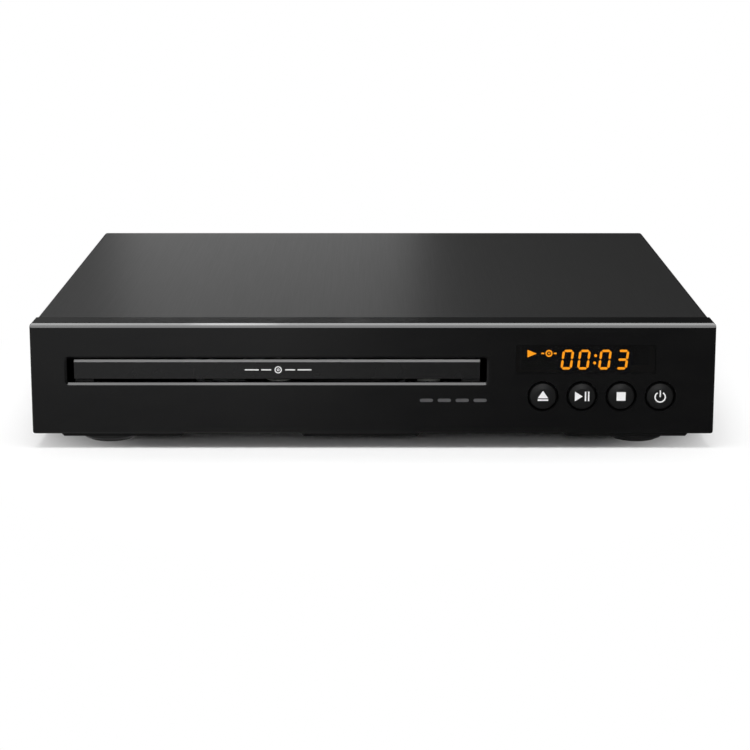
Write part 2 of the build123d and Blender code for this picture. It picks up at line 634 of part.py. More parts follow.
def make_traverse_frame():
    """Stiffened plate with the rear trunnions, rod seats, gear post and cam pin."""
    plate = block((TRAVERSE_LEFT, TRAVERSE_RIGHT), (TRAVERSE_FRONT, TRAVERSE_REAR), (PLATE_BOTTOM, PLATE_TOP))
    plate = fillet(plate.edges().filter_by(Axis.Z), 3.0)
    rear_bar = PICKUP_FRONT + PICKUP_LENGTH + SLED_TRAVEL + 2.0
    window = block((LOADER_X - PICKUP_HALF - 1.5, LOADER_X + PICKUP_HALF + 1.5), (PICKUP_FRONT - 0.6, rear_bar),
                   (PLATE_BOTTOM - 1, PLATE_TOP + 1))
    plate -= fillet(window.edges().filter_by(Axis.Z), 2.0)
    rib = 3.0
    for x in (TRAVERSE_LEFT, TRAVERSE_RIGHT - 2.0):
        plate += block((x, x + 2.0), (TRAVERSE_FRONT + 4.0, TRAVERSE_REAR - 4.0), (PLATE_TOP, PLATE_TOP + rib))
    for side in (-1, 1):
        rod_x = LOADER_X + side * ROD_X
        for y in (PICKUP_FRONT - 4.0, rear_bar + 0.2):
            seat = block((rod_x - 2.5, rod_x + 2.5), (y, y + 3.2), (PLATE_TOP, ROD_Z + 2.8))
            plate += seat - bar_y(rod_x, (y - 1, y + 5), ROD_Z, ROD_RADIUS + BORE_PLAY)
    plate += bar_x((TRAVERSE_LEFT - TRUNNION_REACH, TRAVERSE_LEFT + 3.0), PIVOT_Y, PIVOT_Z, TRUNNION_RADIUS)
    plate += bar_x((TRAVERSE_RIGHT - 3.0, TRAVERSE_RIGHT + TRUNNION_REACH), PIVOT_Y, PIVOT_Z, TRUNNION_RADIUS)
    plate += block((LOADER_X - 8, LOADER_X + 8), (TRAVERSE_FRONT, TRAVERSE_FRONT + 2.0),
                   (PLATE_TOP, CAM_PIN_Z + CAM_PIN_RADIUS))
    plate += bar_y(LOADER_X, (CAM_FRONT - 0.5, TRAVERSE_FRONT), CAM_PIN_Z, CAM_PIN_RADIUS)
    plate += post(SLED_GEAR_X, SLED_GEAR_Y, (PLATE_TOP, PLATE_TOP + 3.2), 1.2)
    plate -= post(SLED_GEAR_X, SLED_PINION_Y, (PLATE_BOTTOM - 1, PLATE_TOP + 1), 1.4)
    return lowered(plate)


def make_spindle_motor():
    """Flat motor under the turntable."""
    can = post(LOADER_X, DISC_Y, (PLATE_TOP, SPINDLE_MOTOR_TOP), SPINDLE_MOTOR_RADIUS)
    can = fillet(can.edges().group_by(Axis.Z)[-1], 1.0)
    can -= post(LOADER_X, DISC_Y, (PLATE_TOP + 1.0, SPINDLE_MOTOR_TOP + 1), SPINDLE_RADIUS + BORE_PLAY)
    return lowered(can)


def make_turntable():
    """Turntable with its centring cone and shaft."""
    seat = SEAT_Z - 0.4
    cone = 7.4
    points = [(0, PLATE_TOP + 1.5), (SPINDLE_RADIUS, PLATE_TOP + 1.5), (SPINDLE_RADIUS, SPINDLE_MOTOR_TOP + PLAY),
              (4.0, SPINDLE_MOTOR_TOP + PLAY), (4.0, SPINDLE_MOTOR_TOP + 1.0),
              (TURNTABLE_RADIUS, SPINDLE_MOTOR_TOP + 1.0), (TURNTABLE_RADIUS, seat), (cone, seat),
              (cone, SEAT_Z + 0.9), (cone - 2.0, SEAT_Z + 2.2), (3.0, SEAT_Z + 2.2), (2.4, SEAT_Z + 1.4),
              (0, SEAT_Z + 1.4)]
    return lowered(turned(points, LOADER_X, DISC_Y))


def make_turntable_mat():
    """Rubber ring that grips the disc."""
    ring = post(LOADER_X, DISC_Y, (SEAT_Z - 0.4, SEAT_Z), TURNTABLE_RADIUS - 0.3)
    return lowered(ring - post(LOADER_X, DISC_Y, (SEAT_Z - 1, SEAT_Z + 1), TURNTABLE_RADIUS - 3.8))


def make_guide_rods():
    """Two polished rods for the pickup."""
    ends = (PICKUP_FRONT - 3.6, PICKUP_FRONT + PICKUP_LENGTH + SLED_TRAVEL + 5.0)
    rods = [bar_y(LOADER_X + side * ROD_X, ends, ROD_Z, ROD_RADIUS) for side in (-1, 1)]
    return lowered(rods[0] + rods[1])


def make_optical_pickup():
    """Pickup body with a bushing on one rod and a fork on the other."""
    y = (PICKUP_FRONT, PICKUP_FRONT + PICKUP_LENGTH)
    body = block((LOADER_X - PICKUP_HALF, LOADER_X + PICKUP_HALF), y, (PICKUP_BOTTOM, PICKUP_TOP))
    body = fillet(body.edges().filter_by(Axis.Z), 2.0)
    ear_y = (y[0] + 2.0, y[1] - 2.0)
    ears = (PLATE_TOP + 0.4, ROD_Z + 2.6)
    body += block((LOADER_X - EAR_FACE, LOADER_X + EAR_FACE), ear_y, ears)
    body -= bar_y(LOADER_X - ROD_X, (y[0] - 1, y[1] + 1), ROD_Z, ROD_RADIUS + BORE_PLAY)
    body -= bar_y(LOADER_X + ROD_X, (y[0] - 1, y[1] + 1), ROD_Z, ROD_RADIUS + BORE_PLAY)
    body += post(LOADER_X, LENS_Y, (PICKUP_TOP, PICKUP_TOP + 0.8), 5.5)
    body -= post(LOADER_X, LENS_Y, (PICKUP_TOP, PICKUP_TOP + 2), 3.6)
    for side in (-1, 1):
        coil = block((LOADER_X + side * 9 - 2, LOADER_X + side * 9 + 2), (LENS_Y - 4, LENS_Y + 4),
                     (PICKUP_TOP, PICKUP_TOP + 0.8))
        body += coil
    return lowered(body)


def make_pickup_lens():
    """Domed objective lens."""
    radius = 3.6 - SLIP
    points = [(0, PICKUP_TOP), (radius, PICKUP_TOP), (radius, PICKUP_TOP + 0.9), (radius * 0.8, PICKUP_TOP + 1.1),
              (radius * 0.45, PICKUP_TOP + 1.5), (0, PICKUP_TOP + 1.6)]
    return lowered(turned(points, LOADER_X, LENS_Y))


def make_pickup_rack():
    """Toothed strip on the pickup that the sled gear drives."""
    pitch = math.pi * SLED_MODULE
    steps = math.ceil((SLED_TRAVEL + 2.0) / pitch)
    first = SLED_GEAR_Y - steps * pitch
    strip = rack(SLED_MODULE, SLED_PITCH_X, 1, LOADER_X + EAR_FACE, first, steps + 2,
                 (first - pitch, SLED_GEAR_Y + 1.8 * pitch), (PLATE_TOP + 0.6, PLATE_TOP + 2.4))
    return lowered(strip)


def make_sled_gear():
    """Gear between the sled motor's pinion and the pickup's rack."""
    turn = 180.0 + 180.0 / SLED_GEAR_TEETH
    x, y = SLED_GEAR_X, SLED_GEAR_Y
    body = gear(SLED_GEAR_TEETH, SLED_MODULE, turn, x, y, (PLATE_TOP + 0.3, PLATE_TOP + 2.8))
    return lowered(body - post(x, y, (PLATE_BOTTOM, PLATE_TOP + 5), 1.2 + BORE_PLAY))


def make_sled_pinion():
    """Pinion and shaft of the sled motor."""
    facing = 180.0 + 180.0 / SLED_GEAR_TEETH - 90.0
    pitch = 360.0 / SLED_GEAR_TEETH
    phase = (facing / pitch) % 1.0
    turn = -90.0 + 180.0 / SLED_PINION_TEETH + phase * 360.0 / SLED_PINION_TEETH
    x, y = SLED_GEAR_X, SLED_PINION_Y
    body = gear(SLED_PINION_TEETH, SLED_MODULE, turn, x, y, (PLATE_TOP + 0.3, PLATE_TOP + 2.9))
    return lowered(body + post(x, y, (PLATE_BOTTOM - 3.5, PLATE_TOP + 0.3), 0.8))


def make_sled_motor():
    """Small flat motor under the traverse plate."""
    can = post(SLED_GEAR_X, SLED_PINION_Y, (PLATE_BOTTOM - 4.8, PLATE_BOTTOM), 6.0)
    return lowered(can - post(SLED_GEAR_X, SLED_PINION_Y, (PLATE_BOTTOM - 3.8, PLATE_TOP), 0.8 + BORE_PLAY))


def make_base_chassis():
    """Pressed steel tray with turned up edges, lowered pads and drawn posts for the boards."""
    y = (FRONT + PANEL_LIP, REAR_INNER)
    outer = block((-BASE_HALF, BASE_HALF), y, (PANEL_LIFT, SIDE_FLANGE_TOP))
    inner = block((-BASE_HALF + SHEET, BASE_HALF - SHEET), (y[0] + SHEET, y[1] + 1), (FLOOR, PANEL_LIFT + 20.0))
    body = outer - inner
    notch = block((-BASE_HALF - 1, BASE_HALF + 1), (y[0] - 1, y[0] + SHEET), (FRONT_FLANGE_TOP, PANEL_LIFT + 20.0))
    body -= notch
    for start in (y[0], REAR_INNER - PAD_LENGTH):
        for left, right in PAD_SPANS:
            wall = PAD_DROP
            floor_y = (start if start == y[0] else start + wall, start + PAD_LENGTH - (wall if start == y[0] else 0))
            for lift, mode in ((0.0, 1), (SHEET, -1)):
                low = [(left + wall, PANEL_LIFT - PAD_DROP + lift), (right - wall, PANEL_LIFT - PAD_DROP + lift),
                       (right, PANEL_LIFT + lift + 0.01), (left, PANEL_LIFT + lift + 0.01)]
                outline = make_face(Polyline(*[(x, floor_y[0], z) for x, z in low], close=True))
                pad = extrude(outline, amount=floor_y[1] - floor_y[0], dir=(0, 1, 0))
                body = body + pad if mode > 0 else body - pad
    for x, foot_y in foot_centres():
        body -= post(x, foot_y, (PANEL_LIFT - PAD_DROP - 1, FLOOR + 1), 2.5 + SLIP)
    for x, screw_y in board_screw_centres():
        body += post(x, screw_y, (PANEL_LIFT, BOARD_Z), 3.0)
    for x, screw_y in loader_screw_centres() + board_screw_centres():
        body -= post(x, screw_y, (PANEL_LIFT - 1, BOARD_Z + 1), SCREW_RADIUS + SLIP)
    for depth, height in side_screw_centres():
        body -= bar_x((-PANEL_WIDTH, PANEL_WIDTH), depth, height, SCREW_RADIUS + SLIP)
    for row in range(3):
        for column in range(8):
            x = MAIN_LEFT + 6.0 + column * 6.5
            vent_y = FRONT + 90.0 + row * 16.0
            body -= block((x, x + 2.2), (vent_y, vent_y + 11.0), (PANEL_LIFT - 1, FLOOR + 1))
    return body


def make_feet():
    """Round feet with a peg that snaps into the base."""
    bottom = RUBBER_SINK
    top = PANEL_LIFT - PAD_DROP
    points = [(0, bottom + RUBBER_SINK), (RUBBER_RADIUS + SLIP, bottom + RUBBER_SINK), (RUBBER_RADIUS + SLIP, bottom),
              (FOOT_RADIUS - 0.8, bottom), (FOOT_RADIUS, bottom + 0.8), (FOOT_RADIUS, top), (2.5, top),
              (2.5, top + SHEET + 1.2), (1.8, top + SHEET + 2.0), (0, top + SHEET + 2.0)]
    feet = [turned(points, x, y) for x, y in foot_centres()]
    return Compound(feet)


def make_foot_pads():
    """Soft discs that touch the table."""
    pads = [post(x, y, (0, 2 * RUBBER_SINK), RUBBER_RADIUS) for x, y in foot_centres()]
    return Compound(pads)


def make_top_cover():
    """Folded steel cover with its sides, rear hem, front tongue and side vents."""
    front = FRONT + PANEL_LEDGE + SLIP
    outer = block((-COVER_HALF, COVER_HALF), (front, REAR), (PANEL_LIFT, TOP))
    outer = fillet(outer.edges().filter_by(Axis.Y).group_by(Axis.Z)[-1], BEND)
    inner = block((-BASE_HALF, BASE_HALF), (front - 1, REAR_FACE), (PANEL_LIFT - 1, TOP - SHEET))
    inner = fillet(inner.edges().filter_by(Axis.Y).group_by(Axis.Z)[-1], BEND - SHEET)
    body = outer - inner
    body -= block((-BASE_HALF, BASE_HALF), (REAR_FACE - 1, REAR + 1), (PANEL_LIFT - 1, TOP - COVER_HEM))
    tongue = TOP - PANEL_WALL - 0.3
    for x in ((-BASE_HALF + 12.0, MAIN_LEFT - 4.0), (MAIN_LEFT + 8.0, MAIN_RIGHT - 8.0)):
        body += block(x, (front - 4.0, front + 3.0), (tongue - SHEET, tongue))
        body += block(x, (front + 3.0 - SHEET, front + 3.0), (tongue, TOP - SHEET / 2))
    for column in range(12):
        y = REAR - 30.0 - column * 5.0
        body -= block((-PANEL_WIDTH, PANEL_WIDTH), (y, y + 2.0), (PANEL_LIFT + 18.0, PANEL_LIFT + 30.0))
    for depth, height in side_screw_centres():
        body -= bar_x((-PANEL_WIDTH, PANEL_WIDTH), depth, height, SCREW_RADIUS + SLIP)
    for x in rear_screw_x():
        body -= bar_y(x, (REAR_FACE - 1, REAR + 1), TOP - COVER_HEM / 2, SCREW_RADIUS + SLIP)
    return body


def make_rear_panel():
    """Steel rear plate with its connector cut-outs and foot flange."""
    plate = block((-BASE_HALF, BASE_HALF), (REAR_INNER, REAR_FACE), (PANEL_LIFT, TOP - SHEET - SLIP))
    plate = chamfer(plate.edges().filter_by(Axis.Y).group_by(Axis.Z)[-1], BEND)
    plate += block((-BASE_HALF + 2, BASE_HALF - 2), (REAR_INNER - 6.0, REAR_INNER), (FLOOR, FLOOR + SHEET))
    through = (REAR_INNER - 1, REAR_FACE + 1)
    for x in JACK_X:
        plate -= bar_y(x, through, JACK_Z, JACK_RADIUS + SLIP)
    plate -= block((HDMI_X - 7.7, HDMI_X + 7.7), through, (BOARD_TOP - 0.2, BOARD_TOP + 6.0))
    plate -= block((INLET_X - 12.2, INLET_X + 12.2), through, (INLET_Z - 7.2, INLET_Z + 7.2))
    for column in range(14):
        x = -52.0 + column * 5.0
        plate -= block((x, x + 2.2), through, (PANEL_LIFT + 12.0, PANEL_LIFT + 26.0))
    for x in rear_screw_x():
        plate -= bar_y(x, through, TOP - COVER_HEM / 2, SCREW_RADIUS + SLIP)
    return plate


def make_boards():
    """Main board and power board as a pair."""
    boards = {}
    for name, left, right, front in (("main_board", MAIN_LEFT, MAIN_RIGHT, MAIN_FRONT),
                                     ("power_board", POWER_LEFT, POWER_RIGHT, POWER_FRONT)):
        boards[name] = block((left, right), (front, REAR_INNER - 6.5), (BOARD_Z, BOARD_TOP))
    for x, y in board_screw_centres():
        name = "main_board" if x > 0 else "power_board"
        boards[name] -= post(x, y, (BOARD_Z - 1, BOARD_TOP + 1), SCREW_RADIUS + SLIP)
    return boards


def make_display_board():
    """Upright board behind the panel."""
    board = block((MAIN_LEFT, MAIN_RIGHT), (DISPLAY_BOARD_Y, DISPLAY_BOARD_Y + BOARD),
                  (PANEL_LIFT + 4.0, TOP - 2 * PANEL_WALL))
    return board


def make_display_module():
    """Dark display block on the display board."""
    return block((WINDOW_LEFT + 2.0, WINDOW_RIGHT - 8.0), (FRONT + 5.0, DISPLAY_BOARD_Y),
                 (WINDOW_BOTTOM + 0.6, WINDOW_TOP - 0.6))


def make_display_segments():
    """Light bars of four seven bar digits and the dots between them."""
    height = 6.6
    width = 4.4
    bar = 0.8
    low = (WINDOW_BOTTOM + WINDOW_TOP) / 2 - height / 2
    face = (FRONT + 4.7, FRONT + 5.0)
    bars = []
    for left in (61.5, 67.0, 73.9, 79.4):
        right = left + width
        half = height / 2
        for base in (0.0, half):
            for x in (left, right - bar):
                bars.append(block((x, x + bar), face, (low + base + bar * 0.7, low + base + half - bar * 0.2)))
        for level in (0.0, half - bar * 0.25, height - bar * 0.5):
            bars.append(block((left + bar * 1.2, right - bar * 1.2), face, (low + level, low + level + bar * 0.7)))
    for level in (0.3, 0.68):
        dot = low + height * level
        bars.append(block((72.1, 72.9), face, (dot, dot + bar)))
    return Compound(bars)


def make_tact_switches():
    """Push switches behind the buttons."""
    switches = []
    tip = FRONT + COLLAR_DEPTH + 1.8 + SLIP + BUTTON_TRAVEL + PLAY
    for _, x in button_centres():
        case = block((x - 3, x + 3), (tip + 0.9, DISPLAY_BOARD_Y), (BUTTON_Z - 3, BUTTON_Z + 3))
        switches.append(case + bar_y(x, (tip, tip + 0.9), BUTTON_Z, 1.7))
    return Compound(switches)


def make_ir_receiver():
    """Remote receiver with its round lens, behind the window."""
    x = WINDOW_RIGHT - 4.2
    z = (WINDOW_BOTTOM + WINDOW_TOP) / 2
    case = block((x - 3, x + 3), (FRONT + 7.5, DISPLAY_BOARD_Y), (z - 3.4, z + 3.4))
    return case + bar_y(x, (FRONT + 6.0, FRONT + 7.5), z, 2.4)


def make_main_chips():
    """Decoder, two memories and a driver on the main board."""
    chips = []
    for x, y, size_x, size_y in ((76.0, 88.0, 22.0, 22.0), (56.0, 96.0, 10.0, 16.0),
                                 (76.0, 118.0, 16.0, 10.0), (60.0, 66.0, 12.0, 10.0)):
        centre = FRONT + y
        chips.append(block((x - size_x / 2, x + size_x / 2), (centre - size_y / 2, centre + size_y / 2),
                           (BOARD_TOP, BOARD_TOP + 1.6)))
    return Compound(chips)


def make_heat_sink():
    """Finned block on the decoder chip."""
    base = BOARD_TOP + 1.6
    y = (FRONT + 78.0, FRONT + 98.0)
    sink = block((66.0, 86.0), y, (base, base + 2.0))
    for index in range(7):
        x = 66.0 + index * 3.1
        sink += block((x, x + 1.4), y, (base + 2.0, base + 9.0))
    return sink


def make_capacitors(places, radius, height):
    """Round capacitors that stand on a board."""
    cans = []
    for x, y in places:
        can = post(x, FRONT + y, (BOARD_TOP, BOARD_TOP + height), radius)
        cans.append(can - post(x, FRONT + y, (BOARD_TOP + height - 0.3, BOARD_TOP + height + 1), radius * 0.82))
    return Compound(cans)


def make_hdmi_socket():
    """Folded metal shell of the digital video socket, with its tongue."""
    z = BOARD_TOP
    y = (REAR_FACE - 12.0, REAR_FACE + 0.8)
    half = 7.5
    shell = block((HDMI_X - half, HDMI_X + half), y, (z, z + 5.6))
    points = [(-half + 0.4, z + 5.2), (half - 0.4, z + 5.2), (half - 0.4, z + 2.4), (half - 2.2, z + 0.5),
              (-half + 2.2, z + 0.5), (-half + 0.4, z + 2.4)]
    outline = make_face(Polyline(*[(HDMI_X + x, y[1] + 1, level) for x, level in points], close=True))
    shell -= extrude(outline, amount=y[1] + 1 - (y[0] + 1.5), dir=(0, -1, 0))
    tongue = block((HDMI_X - 5.6, HDMI_X + 5.6), (y[0] + 1.0, y[1] - 1.4), (z + 2.5, z + 3.6))
    return shell + tongue


def make_rca_block():
    """Plastic block that carries the round jacks on the main board."""
    left = JACK_X[0] - 5.5
    right = min(JACK_X[-1] + 5.5, BASE_HALF - SHEET - SLIP)
    return block((left, right), (REAR_INNER - 14.0, REAR_INNER), (BOARD_TOP, JACK_Z + 6.5))


def make_jack_insert(x):
    """Coloured insulator of one round jack, with its flange and contact hole."""
    length = JACK_REACH + SHEET - 0.6
    core = bar_y(x, (REAR_FACE, REAR_FACE + length), JACK_Z, JACK_BORE - SLIP)
    core += bar_y(x, (REAR_FACE, REAR_FACE + 1.0), JACK_Z, JACK_FLANGE)
    return core - bar_y(x, (REAR_FACE + 1.0, REAR_FACE + length + 1), JACK_Z, 1.65)


def make_jack_shells():
    """Plated sleeves of the round jacks."""
    end = REAR_FACE + JACK_REACH + SHEET
    shells = []
    for x in JACK_X:
        sleeve = bar_y(x, (REAR_FACE + 1.0, end), JACK_Z, JACK_RADIUS)
        shells.append(sleeve - bar_y(x, (REAR_FACE, end + 1), JACK_Z, JACK_BORE))
    return Compound(shells)


def inlet_outline(grow):
    """Figure of eight outline of the mains inlet's mouth."""
    spread = 3.7
    radius = 3.9 + grow
    outline = Pos(-spread, 0) * Circle(radius) + Pos(spread, 0) * Circle(radius)
    return outline + Rectangle(2 * spread, 2 * (2.9 + grow))


def make_mains_inlet():
    """Two pin mains inlet with its figure of eight mouth and pins."""
    depth = 17.0
    body = block((INLET_X - 12, INLET_X + 12), (REAR_INNER - depth, REAR_FACE + 0.6), (INLET_Z - 7, INLET_Z + 7))
    body += block((INLET_X - 14, INLET_X + 14), (REAR_FACE, REAR_FACE + 1.2), (INLET_Z - 9, INLET_Z + 9))
    mouth = extrude(inlet_outline(0.0), amount=12.0)
    body -= Pos(INLET_X, REAR_FACE + 1.3, INLET_Z) * Rot(90, 0, 0) * mouth
    body += block((INLET_X - 10, INLET_X + 10), (REAR_INNER - depth, REAR_INNER - 4.0), (BOARD_TOP, INLET_Z - 7))
    return body


def make_inlet_pins():
    """Two round contact pins in the inlet's mouth."""
    end = REAR_FACE + 1.3 - 12.0
    pins = [bar_y(INLET_X + side * 4.3, (end, end + 9.5), INLET_Z, 1.2) for side in (-1, 1)]
    return Compound(pins)


def make_transformer():
    """Switching transformer: bobbin, core halves and winding."""
    x = (-62.0, -42.0)
    y = (POWER_FRONT + 6.0, POWER_FRONT + 26.0)
    core = block(x, y, (BOARD_TOP + 3.0, BOARD_TOP + 17.0))
    core -= block((x[0] - 1, x[1] + 1), (y[0] + 4.0, y[1] - 4.0), (BOARD_TOP + 7.0, BOARD_TOP + 13.0))
    winding = block((x[0] + 1.5, x[1] - 1.5), (y[0] + 4.0, y[1] - 4.0), (BOARD_TOP + 7.0, BOARD_TOP + 13.0))
    foot = block((x[0] + 2, x[1] - 2), (y[0] + 1, y[1] - 1), (BOARD_TOP, BOARD_TOP + 3.0))
    return core + winding + foot


def make_fuse():
    """Glass fuse between two end caps."""
    y = POWER_FRONT + 32.0 - 22.0
    x = -92.0
    z = BOARD_TOP + 3.2
    tube = bar_y(x, (y - 10.0, y + 10.0), z, 2.2)
    for end in (-10.0, 6.0):
        tube += bar_y(x, (y + end, y + end + 4.0), z, 2.6)
        tube += block((x - 2.0, x + 2.0), (y + end + 0.5, y + end + 3.5), (BOARD_TOP, z - 0.5))
    return tube


def make_front_ribbon():
    """Flat cable from the display board to the main board."""
    thick = 0.6
    width = 16.0
    start = DISPLAY_BOARD_Y + BOARD
    plug = MAIN_FRONT + 2.0
    points = [(start, BOARD_TOP + 8.0), (start + 7.0, BOARD_TOP + 8.0), (plug - 7.0, BOARD_TOP + 2.0),
              (plug, BOARD_TOP + 2.0)]
    path = FilletPolyline(*[(80.0, y, z) for y, z in points], radius=(3.0, 3.0))
    section = Plane(origin=path @ 0, z_dir=path % 0, x_dir=(1, 0, 0)) * Rectangle(width, thick)
    cable = sweep(section, path=path)
    return cable + block((70.0, 90.0), (plug, plug + 5.0), (BOARD_TOP, BOARD_TOP + 4.0))


def make_power_lead():
    """Three insulated wires from the power board to the main board."""
    wires = []
    for index in range(3):
        y = POWER_FRONT + 8.0 + index * 2.2
        rise = BOARD_TOP + 8.0
        ends = (POWER_RIGHT - 8.0, MAIN_LEFT + 4.0)
        points = [(ends[0], y, BOARD_TOP), (ends[0], y, rise), (ends[1], y, rise), (ends[1], y, BOARD_TOP)]
        path = FilletPolyline(*points, radius=(3.5, 3.5))
        section = Plane(origin=path @ 0, z_dir=path % 0) * Circle(0.9)
        wires.append(sweep(section, path=path))
    return Compound(wires)


def make_cover_screws():
    """Screws in the cover's sides and rear hem."""
    screws = []
    for depth, height in side_screw_centres():
        for side in (-1, 1):
            shape = screw(0, 0, 0, 5.0, COVER_HEAD)
            screws.append(Pos(side * COVER_HALF, depth, height) * Rot(0, side * 90, 0) * shape)
    for x in rear_screw_x():
        screws.append(Pos(x, REAR, TOP - COVER_HEM / 2) * Rot(-90, 0, 0) * screw(0, 0, 0, 5.0, COVER_HEAD))
    return Compound(screws)


def make_inner_screws():
    """Screws that hold the boards and the loader to the base."""
    screws = [screw(x, y, BOARD_TOP, 5.0) for x, y in board_screw_centres()]
    screws += [screw(x, y, LOADER_FLOOR, 5.0) for x, y in loader_screw_centres()]
    return Compound(screws)


def export_nodes(nodes):
    """Write one file per piece."""
    os.makedirs("parts", exist_ok=True)
    for name, shape in nodes.items():
        export_step(shape, "parts/" + name + ".step")


def make_nodes():
    """All pieces by name."""
    nodes = {
        "front_panel": make_front_panel(),
        "display_window": make_display_window(),
        "tray_door": make_tray_door(),
        "disc_tray": make_disc_tray(),
        "loader_frame": make_loader_frame(),
        "clamp_bridge": make_clamp_bridge(),
        "clamper": make_clamper(),
        "clamper_magnet": make_clamper_magnet(),
        "tray_gear": make_tray_gear(),
        "pulley_gear": make_pulley_gear(),
        "motor_pulley": make_motor_pulley(),
        "loading_motor": make_loading_motor(),
        "drive_belt": make_drive_belt(),
        "cam_slider": make_cam_slider(),
        "traverse_frame": make_traverse_frame(),
        "spindle_motor": make_spindle_motor(),
        "turntable": make_turntable(),
        "turntable_mat": make_turntable_mat(),
        "guide_rods": make_guide_rods(),
        "optical_pickup": make_optical_pickup(),
        "pickup_lens": make_pickup_lens(),
        "pickup_rack": make_pickup_rack(),
        "sled_gear": make_sled_gear(),
        "sled_pinion": make_sled_pinion(),
        "sled_motor": make_sled_motor(),
        "base_chassis": make_base_chassis(),
        "feet": make_feet(),
        "foot_pads": make_foot_pads(),
        "top_cover": make_top_cover(),
        "rear_panel": make_rear_panel(),
        "display_board": make_display_board(),
        "display_module": make_display_module(),
        "display_segments": make_display_segments(),
        "tact_switches": make_tact_switches(),
        "ir_receiver": make_ir_receiver(),
        "main_chips": make_main_chips(),
        "heat_sink": make_heat_sink(),
        "main_capacitors": make_capacitors([(52.0, 120.0), (52.0, 130.0), (100.0, 120.0), (100.0, 70.0)], 3.0, 8.0),
        "power_capacitors": make_capacitors([(-74.0, 168.0), (-30.0, 166.0), (-30.0, 178.0)], 5.0, 16.0),
        "hdmi_socket": make_hdmi_socket(),
        "rca_block": make_rca_block(),
        "jack_shells": make_jack_shells(),
        "mains_inlet": make_mains_inlet(),
        "inlet_pins": make_inlet_pins(),
        "transformer": make_transformer(),
        "fuse": make_fuse(),
        "front_ribbon": make_front_ribbon(),
        "power_lead": make_power_lead(),
        "cover_screws": make_cover_screws(),
        "inner_screws": make_inner_screws(),
    }
    nodes.update(make_boards())
    for name, x in button_centres():
        nodes[name] = make_button(x)
    for name, x in zip(JACK_NAMES, JACK_X):
        nodes[name] = make_jack_insert(x)
    return nodes


export_nodes(make_nodes())
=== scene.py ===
# %% [markdown]
# # A disc player, dressed around its frame
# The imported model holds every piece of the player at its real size. This lesson gives each piece its
# finish and adds what is too fine for a solid model: fine edges, lit bars, prints, screw recesses and small
# board parts. The frame comes first, because every later piece takes its place from it.

# %% Load the frame
import json
import math
import bmesh
import bpy
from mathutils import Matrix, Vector


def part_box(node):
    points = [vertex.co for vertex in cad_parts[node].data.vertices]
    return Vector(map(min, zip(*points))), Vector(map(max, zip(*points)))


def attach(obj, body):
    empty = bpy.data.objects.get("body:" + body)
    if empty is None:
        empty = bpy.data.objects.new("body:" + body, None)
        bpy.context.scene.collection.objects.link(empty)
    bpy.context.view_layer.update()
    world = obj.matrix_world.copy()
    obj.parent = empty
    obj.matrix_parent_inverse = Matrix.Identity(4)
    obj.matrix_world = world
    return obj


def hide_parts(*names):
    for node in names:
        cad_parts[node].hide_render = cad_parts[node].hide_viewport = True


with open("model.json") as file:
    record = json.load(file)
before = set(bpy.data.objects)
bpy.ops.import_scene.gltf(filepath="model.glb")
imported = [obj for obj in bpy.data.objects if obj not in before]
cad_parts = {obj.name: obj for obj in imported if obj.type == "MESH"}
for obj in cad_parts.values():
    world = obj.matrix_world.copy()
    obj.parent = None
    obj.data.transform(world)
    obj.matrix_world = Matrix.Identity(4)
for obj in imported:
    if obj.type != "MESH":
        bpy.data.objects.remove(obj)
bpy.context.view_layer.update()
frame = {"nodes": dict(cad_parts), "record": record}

nodes = frame["nodes"]
MM = 0.001


def linked(name, data):
    """Object with this data, in the scene."""
    item = bpy.data.objects.new(name, data)
    bpy.context.collection.objects.link(item)
    return item


def mesh_from(builder, name):
    """Mesh from a bmesh, which is freed."""
    mesh = bpy.data.meshes.new(name)
    builder.to_mesh(mesh)
    builder.free()
    return mesh


def evaluated_mesh(item):
    """Plain mesh of an object with its modifiers run and then removed."""
    bpy.context.view_layer.update()
    depsgraph = bpy.context.evaluated_depsgraph_get()
    mesh = bpy.data.meshes.new_from_object(item.evaluated_get(depsgraph))
    item.modifiers.clear()
    return mesh


# %% [markdown]
# ## Camera
# The player was photographed from the front and a little above, through a long lens, so its sides don't show
# and its top is foreshortened. A lens of about 104 mm on a 36 mm sensor gives the same even perspective.
# Nothing is shifted or blurred, so the other views can reuse this camera as it is.

# %% Place the camera
CAMERA_PLACE = (0.0007, -0.7993, 0.1780)
CAMERA_PITCH = math.radians(77.605)
LENS_MM = 104.14
SENSOR_MM = 36.0


def place_camera():
    """The studio camera, in front and slightly above."""
    data = bpy.data.cameras.new("studio_camera")
    data.lens = LENS_MM
    data.sensor_width = SENSOR_MM
    camera = linked("studio_camera", data)
    camera.location = CAMERA_PLACE
    camera.rotation_euler = (CAMERA_PITCH, 0.0, 0.0)
    bpy.context.scene.camera = camera
    return camera


camera = place_camera()
bpy.context.scene.view_settings.view_transform = "Standard"
print("camera at", tuple(round(value, 3) for value in camera.location))

# %% [markdown]
# ## Lights
# Gloss black shows almost no colour of its own: what the eye reads is what it mirrors. The bevelled edges
# face half up and half forward. Their upper facets mirror a strip straight above, and their lower facets one
# further forward, and a narrow box makes the brightest stretch. A key box above the back throws the shadow
# under the front, a low one behind gives the painted cover its satin sheen, and one in front fills the shadow.
# The power of each box comes from its area and the brightness that it should show in a mirror.

# %% Hang the soft boxes
WHITE = (1.0, 1.0, 1.0)


def soft_box(name, place, size, radiance, aim):
    """A rectangular area light that shows this radiance and faces the point aim."""
    data = bpy.data.lights.new(name, "AREA")
    data.shape = "RECTANGLE"
    data.size, data.size_y = size
    data.energy = radiance * math.pi * size[0] * size[1]
    data.color = WHITE
    lamp = linked(name, data)
    lamp.location = place
    lamp.rotation_euler = (Vector(aim) - Vector(place)).to_track_quat("-Z", "Y").to_euler()
    return lamp


